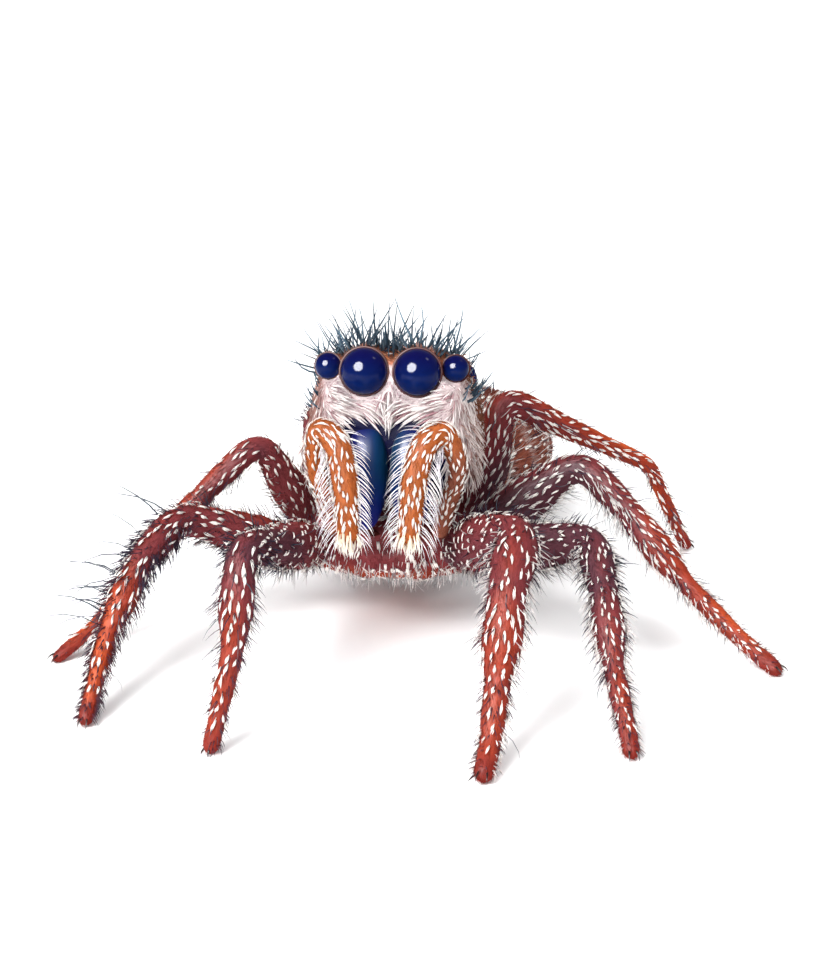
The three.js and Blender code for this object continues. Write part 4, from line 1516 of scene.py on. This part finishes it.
def add_dashes(strands, limb, reach, kind, shade):
    """White flecks, each a spindle of flat blades that lie side by side."""
    rng = strands.rng
    pitches, length, width, blades = DASHES[kind]
    s, phi = dash_field(limb, rng, reach, *pitches)
    keep = rng.random(len(s)) < DASHES_KEPT
    s, phi = s[keep], phi[keep]
    place, _, _ = limb.surface(s, phi)
    good = outside_body(place) & (s < reach[1] * limb.length)
    s, phi = s[good], phi[good]
    count = len(s)
    near_joint = np.zeros(count)
    for stop in limb.stops[1:5]:
        near_joint = np.maximum(near_joint, np.exp(-((s - stop) / 0.35) ** 2))
    size = rng.uniform(*length, count) * (1 - 0.45 * near_joint)
    slant = rng.normal(0, 0.16, count)
    if limb.name.startswith("leg_1"):
        on_thigh = fade(s, limb.stops[1] - 1.0, limb.stops[1] - 0.2)
        slant += 0.5 * on_thigh
        size *= 1 - 0.35 * on_thigh
    for blade in range(blades):
        aside = (blade + 0.5) / blades * 2 - 1
        aside = aside + rng.normal(0, 0.12, count)
        run = size * (1 - 0.45 * aside ** 2) * rng.uniform(0.85, 1.1, count)
        begin = s - run * 0.5 + rng.normal(0, 0.03, count)
        radius = limb.at(s, "radius")
        shift = aside * width * 0.5 / radius
        skew = slant * run / radius
        root, normal, _ = limb.surface(begin, phi + shift * 0.6 - skew * 0.5, -0.02)
        middle, _, _ = limb.surface(begin + run * 0.5, phi + shift * 1.2, 0.06)
        tip, _, _ = limb.surface(begin + run, phi + shift * 0.5 + skew * 0.5, 0.035)
        tone_here = np.asarray(shade)[None] * rng.uniform(0.86, 1.05, (count, 1))
        strands.add(
            np.full(count, True), SPINDLE, 0.4, root=root, middle=middle, tip=tip,
            normal=normal, wide=rng.uniform(0.8, 1.15, count) * width / blades * 1.05,
            root_tone=tone_here * 0.9, tip_tone=tone_here, part=limb.part,
            share=s / limb.length, turn=phi / (2 * math.pi),
        )


def add_flecks(strands, skin, density, weight, shade, size):
    """Flecks like the legs', scattered, each of three blades side by side."""
    roots = skin.scatter(strands.rng, density, weight)
    aside = unit(np.cross(roots["normal"], roots["ahead"]))
    for blade in (-1, 0, 1):
        place = roots["root"] + aside * 0.028 * blade + roots["normal"] * 0.06
        grow(strands, dict(roots, root=place), FLECK, shade, shade, size=size)


def build_coat(name, seed, material, fill):
    strands = Strands(seed)
    fill(strands)
    strands.build(name, material)


class BuildLegCoat(bpy.types.Operator):
    """Grows the short fur of the legs, one piece for each pair"""

    bl_idname = "spider.build_leg_coat"
    bl_label = "Leg fur"

    def execute(self, context):
        skin = Skin()
        material = coat_material("Leg fur", 0.6)
        for number in (1, 2, 3, 4):
            parts = [PARTS.index(f"leg_{number}_{side}") for side in SIDES]
            weight = np.isin(skin.part, parts).astype(float)

            def fill(strands, weight=weight):
                short_fur(strands, skin, 240, weight, LEG_FUR, (0.72, 1.35), (0.8, 1.15))

            build_coat(f"fur_legs_{number}", 10 + number, material, fill)
        return {"FINISHED"}


class BuildDashes(bpy.types.Operator):
    """Lays the white flecks on the legs and palps"""

    bl_idname = "spider.build_dashes"
    bl_label = "White dashes"

    def execute(self, context):
        colours = context.scene.spider_colours
        material = coat_material("Flattened white hairs", 0.6)
        for side in SIDES:
            def fill(strands, side=side):
                for limb in limbs(side):
                    kind, reach = "palp", (0.1, 0.95)
                    if limb.name.startswith("leg"):
                        kind = "small" if limb.name in SMALL_DASHED_LEGS else "large"
                        reach = (0.05, (limb.length - 0.75) / limb.length)
                    add_dashes(strands, limb, reach, kind, colours.dash)

            build_coat(f"dashes_{side}", 20, material, fill)
        return {"FINISHED"}


class BuildLegBristles(bpy.types.Operator):
    """Grows the standing bristles, spines and fringes of the legs"""

    bl_idname = "spider.build_leg_bristles"
    bl_label = "Leg bristles"

    def execute(self, context):
        colours = context.scene.spider_colours
        material = coat_material("Bristle", 0.4)
        for side in SIDES:
            def fill(strands, side=side):
                for limb in limbs(side)[1:]:
                    self.fringe(strands, limb, colours, side)

            build_coat(f"bristles_{side}", 30, material, fill)
        return {"FINISHED"}

    def in_knee(self, limb, roots):
        """True for roots in the crook of the knee, where the hairs would cross."""
        near = np.abs(roots["share"] * limb.length - limb.stops[1]) < 0.7
        return near & (np.sin(roots["turn"] * 2 * math.pi) < -0.2)

    def fringe(self, strands, limb, colours, side):
        rng, slate, white = strands.rng, colours.slate, colours.white
        fullness, pale = limb.stance["bristles"]
        bristle = LEG_BRISTLE._replace(half_width=LEG_BRISTLE.half_width + 0.003 * fullness)
        for facing, spread, density in ((0, 38, 21), (180, 38, 21), (-90, 45, 15), (90, 40, 6)):
            count = int(limb.length * density * fullness)
            roots = limb_roots(limb, rng, count, (0.06, 0.985), facing, spread)
            if facing in (0, 180):
                on_thigh = roots["share"] * limb.length < limb.stops[1] + 0.3
                roots = keep_only(roots, ~on_thigh | (rng.random(count) < 0.25))
            roots = keep_only(roots, outside_body(roots["root"]) & ~self.in_knee(limb, roots))
            count = len(roots["root"])
            # Painted light: her left legs have more pale bristles, as hairs that catch the light
            # against the shade beside them, and her right legs dark ones; the real legs have both
            # kinds.
            is_pale = rng.random(count) < (0 if facing == 90 else pale)
            shade = np.where(is_pale[:, None], white, slate)
            skin_tone = leg_tone(colours, limb, roots["share"] * limb.length, np.zeros(count))
            size = 0.55 + 0.45 * fade(roots["share"], 0.6, 0.95)
            grow(strands, roots, bristle, mix(skin_tone, shade, 0.5), shade, size=size)
        if limb.name[4] in "123":
            count = int(limb.length * 0.5 * (26 if side == "left" else 14))
            roots = limb_roots(limb, rng, count, (0.06, 0.5), -90, 65)
            roots = keep_only(roots, outside_body(roots["root"]) & ~self.in_knee(limb, roots))
            shade = mix(slate, white, rng.uniform(0.3, 1.0, len(roots["root"])))
            grow(strands, roots, THIGH_FRINGE, shade * 0.75, shade)
        roots = limb_roots(limb, rng, int(limb.length * 0.9), (0.2, 0.9), 90, 150)
        roots = keep_only(roots, outside_body(roots["root"]))
        grow(strands, roots, LEG_SPINE, slate, mix(slate, white, 0.15))
        if limb.name == LONG_SPINED_LEG:
            for _ in range(2):
                roots = limb_roots(limb, rng, 8, (0.4, 0.75), 28, 34)
                grow(strands, roots, LONG_SPINE, slate, mix(slate, white, 0.2))


class BuildPalpFringe(bpy.types.Operator):
    """Grows the fur and the long white feathery fringes of the palps"""

    bl_idname = "spider.build_palp_fringe"
    bl_label = "Palp fringe"

    def execute(self, context):
        colours = context.scene.spider_colours
        skin = Skin()
        palps = limbs()[:2]
        weight = np.isin(skin.part, [palp.part for palp in palps]).astype(float)
        lilac = mix(colours.white, LILAC_TONE, 0.55)

        def fill(strands):
            short_fur(strands, skin, 220, weight, PALP_FUR, (0.65, 1.35), (0.75, 1.15))
            rng = strands.rng
            for palp in palps:
                outer = 8 if palp.name.endswith("right") else 172
                for facing, count, reach, length in (
                    (outer - 8, 26, (0.53, 0.96), (0.95, 1.15)),
                    (outer + 8, 22, (0.56, 0.97), (0.75, 1.0)),
                    (172 - outer, 26, (0.55, 0.97), (0.7, 0.85)),
                    (188 - outer, 20, (0.58, 0.97), (0.55, 0.7)),
                ):
                    roots = limb_roots(palp, rng, count, reach, facing, 7, even=True)
                    tips = mix(colours.white, lilac, rng.random(count))
                    grow(strands, roots, PALP_FRINGE._replace(length=length), tips * 0.95, tips)
                roots = limb_roots(palp, rng, 64, (0.93, 0.995), 0, 180)
                grow(strands, roots, PALP_TIP, PALP_TIP_TONE, colours.white)

        build_coat("fur_palps", 40, coat_material("Palp fringe", 0.5), fill)
        return {"FINISHED"}


class BuildHeadCoat(bpy.types.Operator):
    """Grows the fur of the head: face, moustache, cheeks, crown and the crest over the eyes"""

    bl_idname = "spider.build_head_coat"
    bl_label = "Head fur"

    def execute(self, context):
        colours = context.scene.spider_colours
        skin = Skin()
        local = world_to_prosoma(skin.points)
        x, y, z = local.T
        on_head = (skin.part == HEAD).astype(float)
        in_front = fade(y, -2.5, -1.7)
        face = in_front * fade(z, 5.25, 5.4) * (1 - behind_brow(local))
        bare = in_front * fade(z - face_edge(x), -0.02, 0.06)
        covered = on_head * (1 - face) * (1 - bare)
        material = coat_material("Head fur", 0.6)

        def crown(strands):
            short_fur(strands, skin, 150, covered, CROWN_FUR, (0.55, 1.5), (0.6, 1.25))
            sides = covered * (0.15 + 0.85 * (fade(z, 4.6, 5.2) * ease(z, 1.6, 2.4)))
            add_flecks(strands, skin, 9, sides, mix(colours.dash, colours.pink_and_painted_shade, 0.35), 0.62)

        def face_fur(strands):
            for hair, density in ((FACE_FUR, 260), (FACE_LOCK, 74)):
                roots = skin.scatter(strands.rng, density, on_head * face * (1 - bare))
                roots["ahead"] = round_eyes(roots)
                tones = self.face_tones(colours, strands.rng, roots, hair is FACE_LOCK)
                near = ~clear_of_eyes(roots["root"], 0.2)
                cheek = np.abs(world_to_prosoma(roots["root"])[:, 0]) > 1.85
                for part, size in ((near, 0.42), (cheek & ~near, 0.68), (~near & ~cheek, 1.0)):
                    some, some_tones = keep_only(roots, part), [tone[part] for tone in tones]
                    girth = 0.5 + 0.5 * size
                    if hair is FACE_LOCK:
                        lock = hair._replace(half_width=hair.half_width * girth)
                        grow(strands, some, lock, *some_tones, size=size)
                    else:
                        grow(strands, some, hair, *some_tones, size=girth)

        def sideburns(strands):
            beside = ease(np.abs(x), 2.0, 2.2) * fade(y, -1.9, -1.3)
            weight = on_head * beside * ease(z, 1.2, 1.5) * fade(z, 3.2, 3.7)
            roots = skin.scatter(strands.rng, 34, weight)
            side = np.sign(roots["root"][:, :1])
            # Painted shade: more of the sideburn hairs are brown on her right side than on her
            # left.
            brown = strands.rng.random(len(side)) * np.where(side[:, 0] > 0, 0.3, 0.9)
            flow = side * np.array([0.45, 0, 0]) + np.array([0, 0.1, -1])
            tips = mix(colours.white, colours.cheek, brown)
            grow(strands, roots, SIDEBURN, colours.cheek, tips, flow)

        def crest(strands):
            rng = strands.rng
            top = ease(z, 4.7, 5.1) * fade(y, -1.8, -1.2) * ease(y, -2.9, -2.6)
            flank = ease(np.abs(x), 1.9, 2.1) * fade(y, -1.6, -1.0) * ease(z, 3.5, 4.0)
            band = on_head * np.maximum(top, flank * 0.6)
            for density, length, thick in ((12, (0.5, 1.0), 0.027), (4.2, (1.1, 1.85), 0.031)):
                roots = skin.scatter(rng, density, band)
                count = len(roots["root"])
                beside = fade(roots["normal"][:, 2], 0.3, 0.8)[:, None]
                rise = np.where(beside[:, 0] > 0.5, 68, 62)
                fall = np.where(beside[:, 0] > 0.5, 20, 68)
                hair = CREST._replace(
                    length=length, rise=(rise - 18, rise + 18), fall=(fall - 25, fall + 32),
                    half_width=thick,
                )
                for _ in range(2):
                    shift = rng.normal(0, 0.06, (count, 3))
                    moved = dict(roots, root=roots["root"] + along_skin(shift, roots["normal"])
                                 * np.linalg.norm(shift, axis=1, keepdims=True))
                    flow = rng.normal(0, 0.7, (count, 3)) + np.array([0, 0.2, 0])
                    shade = mix(colours.slate, CREST_TONE, rng.random(count) * 0.7)
                    grow(strands, moved, hair, shade * 0.85, shade,
                         flow * (1 - 0.6 * beside) + UP * beside * 2, 1 - 0.35 * beside[:, 0])

        build_coat("fur_crown", 50, material, crown)
        build_coat("fur_face", 51, material, face_fur)
        build_coat("fur_sideburns", 53, material, sideburns)
        build_coat("crest", 52, coat_material("Crest", 0.45), crest)
        return {"FINISHED"}

    def face_tones(self, colours, rng, roots, is_lock):
        """Root and tip colours for hairs of the face."""
        place = world_to_prosoma(roots["root"])
        count = len(place)
        is_left = place[:, 0] > 0
        side = ease(np.abs(place[:, 0]), 1.6, 2.1)
        low = 0.25 * fade(place[:, 2], 2.6, 3.6)
        # Painted shade: the face's hairs are browner on her right side and lighter on her left.
        painted_shade_by_side = np.where(is_left, -0.24, 0.5)
        share = (0.12 if is_lock else 0.25) + (0.24 + low + painted_shade_by_side) * side
        brown = rng.random(count) < share
        # Painted shade: hair roots are tinted pinkish brown, as the shade between the hairs.
        root_tone = mix(mix(colours.pink_and_painted_shade, colours.white, 0.45 if is_lock else 0.1),
                        colours.cheek, side * np.where(is_left, 0.5, 0.95))
        root_tone = mix(root_tone, colours.pink_and_painted_shade, brown * (1 - side) * 0.8)
        tip_tone = mix(colours.white, mix(colours.pink_and_painted_shade, colours.cheek, side), brown * 0.85)
        orange = face_orange(place)
        cream = (rng.random(count) < 0.35) * orange
        tip_tone = mix(tip_tone, BROW_TONE, orange * 0.9)
        return mix(root_tone, colours.palp, orange * 0.9), mix(tip_tone, CREAM_TONE, cream)


class BuildBodyCoat(bpy.types.Operator):
    """Grows the fur of the abdomen and of the underside"""

    bl_idname = "spider.build_body_coat"
    bl_label = "Body fur"

    def execute(self, context):
        colours = context.scene.spider_colours
        skin = Skin()

        def abdomen(strands):
            rng, weight = strands.rng, (skin.part == ABDOMEN_PART).astype(float)
            short_fur(strands, skin, 130, weight, ABDOMEN_FUR, (0.6, 1.4), (0.65, 1.2))
            add_flecks(strands, skin, 4.5, weight, colours.dash, 0.8)
            roots = skin.scatter(rng, 9, weight)
            pale = (rng.random(len(roots["root"])) < 0.35)[:, None]
            shade = np.where(pale, colours.white, colours.slate)
            grow(strands, roots, BODY_BRISTLE, shade * 0.8, shade)

        def underside(strands):
            rng, weight = strands.rng, (skin.part == UNDERSIDE).astype(float)
            facing_ahead = weight * fade(skin.normals[:, 1], -0.4, 0.1)
            skin.ahead = skin.ahead - 4 * facing_ahead[:, None] * UP
            roots = skin.scatter(rng, 90, weight)
            pale = (rng.random(len(roots["root"])) < 0.1)[:, None]
            level = np.where(pale, colours.white, roots["tint"] * 1.1)
            grow(strands, roots, UNDERSIDE_FUR, level * 0.75, level)
            add_flecks(strands, skin, 9, weight, colours.dash, 0.8)
            hanging = skin.scatter(rng, 16, weight * fade(skin.normals[:, 2], -0.4, 0.1))
            flow = np.broadcast_to([0, -0.2, -1.0], hanging["root"].shape)
            shade = mix(colours.white, colours.slate, (rng.random(len(flow)) < 0.4) * 0.7)
            grow(strands, hanging, BELLY_FRINGE, shade * 0.8, shade, flow)

        material = coat_material("Body fur", 0.55)
        build_coat("fur_abdomen", 60, material, abdomen)
        build_coat("fur_underside", 61, material, underside)
        return {"FINISHED"}


# ------------------------------------------------------------------ stage


CAMERA_AIM = (0.71, -3, 5.08)
LAMPS_AIM = (0, 0, 3)
SKY = {"Color": (0.95, 0.97, 1, 1), "Strength": 0.35}
# Each lamp's name, place, width, power in watts, and the rays that don't see it.
LAMPS = [
    ("key", (-62, -95, 105), 70, 0.26, "glossy"),
    ("fill", (50, -120, 30), 120, 0.06, "glossy"),
    ("top", (0, 90, 420), 500, 1.4, "glossy"),
    ("eye_light", (-62, -101, 100), 122, 6.0, "diffuse"),
    ("glint", (67, 32, 99), 22, 0.015, None),
]


class BuildStage(bpy.types.Operator):
    """Sets the floor, the lights and the camera"""

    bl_idname = "spider.build_stage"
    bl_label = "Stage"

    def execute(self, context):
        settings, scene = context.scene.spider_stage, context.scene
        deselect()
        bpy.ops.mesh.primitive_plane_add(size=2.0)
        floor = bpy.context.object
        floor.name = "floor"
        material, _, _ = new_material(
            "Floor", {"Base Color": (*settings.floor, 1), "Roughness": 0.9},
        )
        floor.data.materials.append(material)
        world = bpy.data.worlds.new("Studio")
        world.use_nodes = True
        set_inputs(world.node_tree.nodes["Background"], SKY)
        scene.world = world
        for lamp in LAMPS:
            self.light(*lamp)
        aim = np.array(CAMERA_AIM) * MM + model_offset()
        level = math.cos(settings.elevation)
        back = np.array([
            math.sin(settings.azimuth) * level, -math.cos(settings.azimuth) * level,
            math.sin(settings.elevation),
        ])
        deselect()
        bpy.ops.object.camera_add(location=Vector(aim + back * settings.distance))
        camera = bpy.context.object
        camera.rotation_euler = Vector(-back).to_track_quat("-Z", "Y").to_euler()
        camera.data.sensor_width = 36
        camera.data.lens = settings.lens
        camera.data.clip_start = 0.001
        camera.data.clip_end = 10
        scene.camera = camera
        scene.view_settings.view_transform = "Standard"
        return {"FINISHED"}

    def light(self, name, place, size, power, unseen_by):
        bpy.ops.object.light_add(type="AREA", location=Vector(place) * MM)
        lamp = bpy.context.object
        lamp.name = name
        lamp.data.shape = "DISK"
        lamp.data.size = size * MM
        lamp.data.energy = power
        aim = Vector(LAMPS_AIM) - Vector(place)
        lamp.rotation_euler = aim.to_track_quat("-Z", "Y").to_euler()
        if unseen_by:
            setattr(lamp, f"visible_{unseen_by}", False)


OPERATORS = [
    BuildSkin, BuildEyes, BuildJaws, BuildClaws, BuildLegCoat, BuildDashes, BuildLegBristles,
    BuildPalpFringe, BuildHeadCoat, BuildBodyCoat, BuildStage,
]


class SpiderPanel(bpy.types.Panel):
    """Lists the spider's pieces and settings"""

    bl_idname = "VIEW3D_PT_spider"
    bl_label = "Jumping spider"
    bl_space_type = "VIEW_3D"
    bl_region_type = "UI"
    bl_category = "Spider"

    def draw(self, context):
        for operator in OPERATORS:
            self.layout.operator(operator.bl_idname)
        for name in GROUPS:
            settings = getattr(context.scene, name)
            for key in settings.bl_rna.properties.keys():
                if key not in ("name", "rna_type"):
                    self.layout.prop(settings, key)


GROUPS = {
    "spider_body": SpiderBody, "spider_colours": SpiderColours, "spider_stage": SpiderStage,
}


def register():
    for item in [*GROUPS.values(), *OPERATORS, SpiderPanel]:
        bpy.utils.register_class(item)
    for name, group in GROUPS.items():
        setattr(bpy.types.Scene, name, PointerProperty(type=group))


def unregister():
    for name in GROUPS:
        delattr(bpy.types.Scene, name)
    for item in reversed([*GROUPS.values(), *OPERATORS, SpiderPanel]):
        bpy.utils.unregister_class(item)


def main():
    register()
    for operator in OPERATORS:
        area, name = operator.bl_idname.split(".")
        getattr(getattr(bpy.ops, area), name)()


if __name__ == "__main__":
    main()
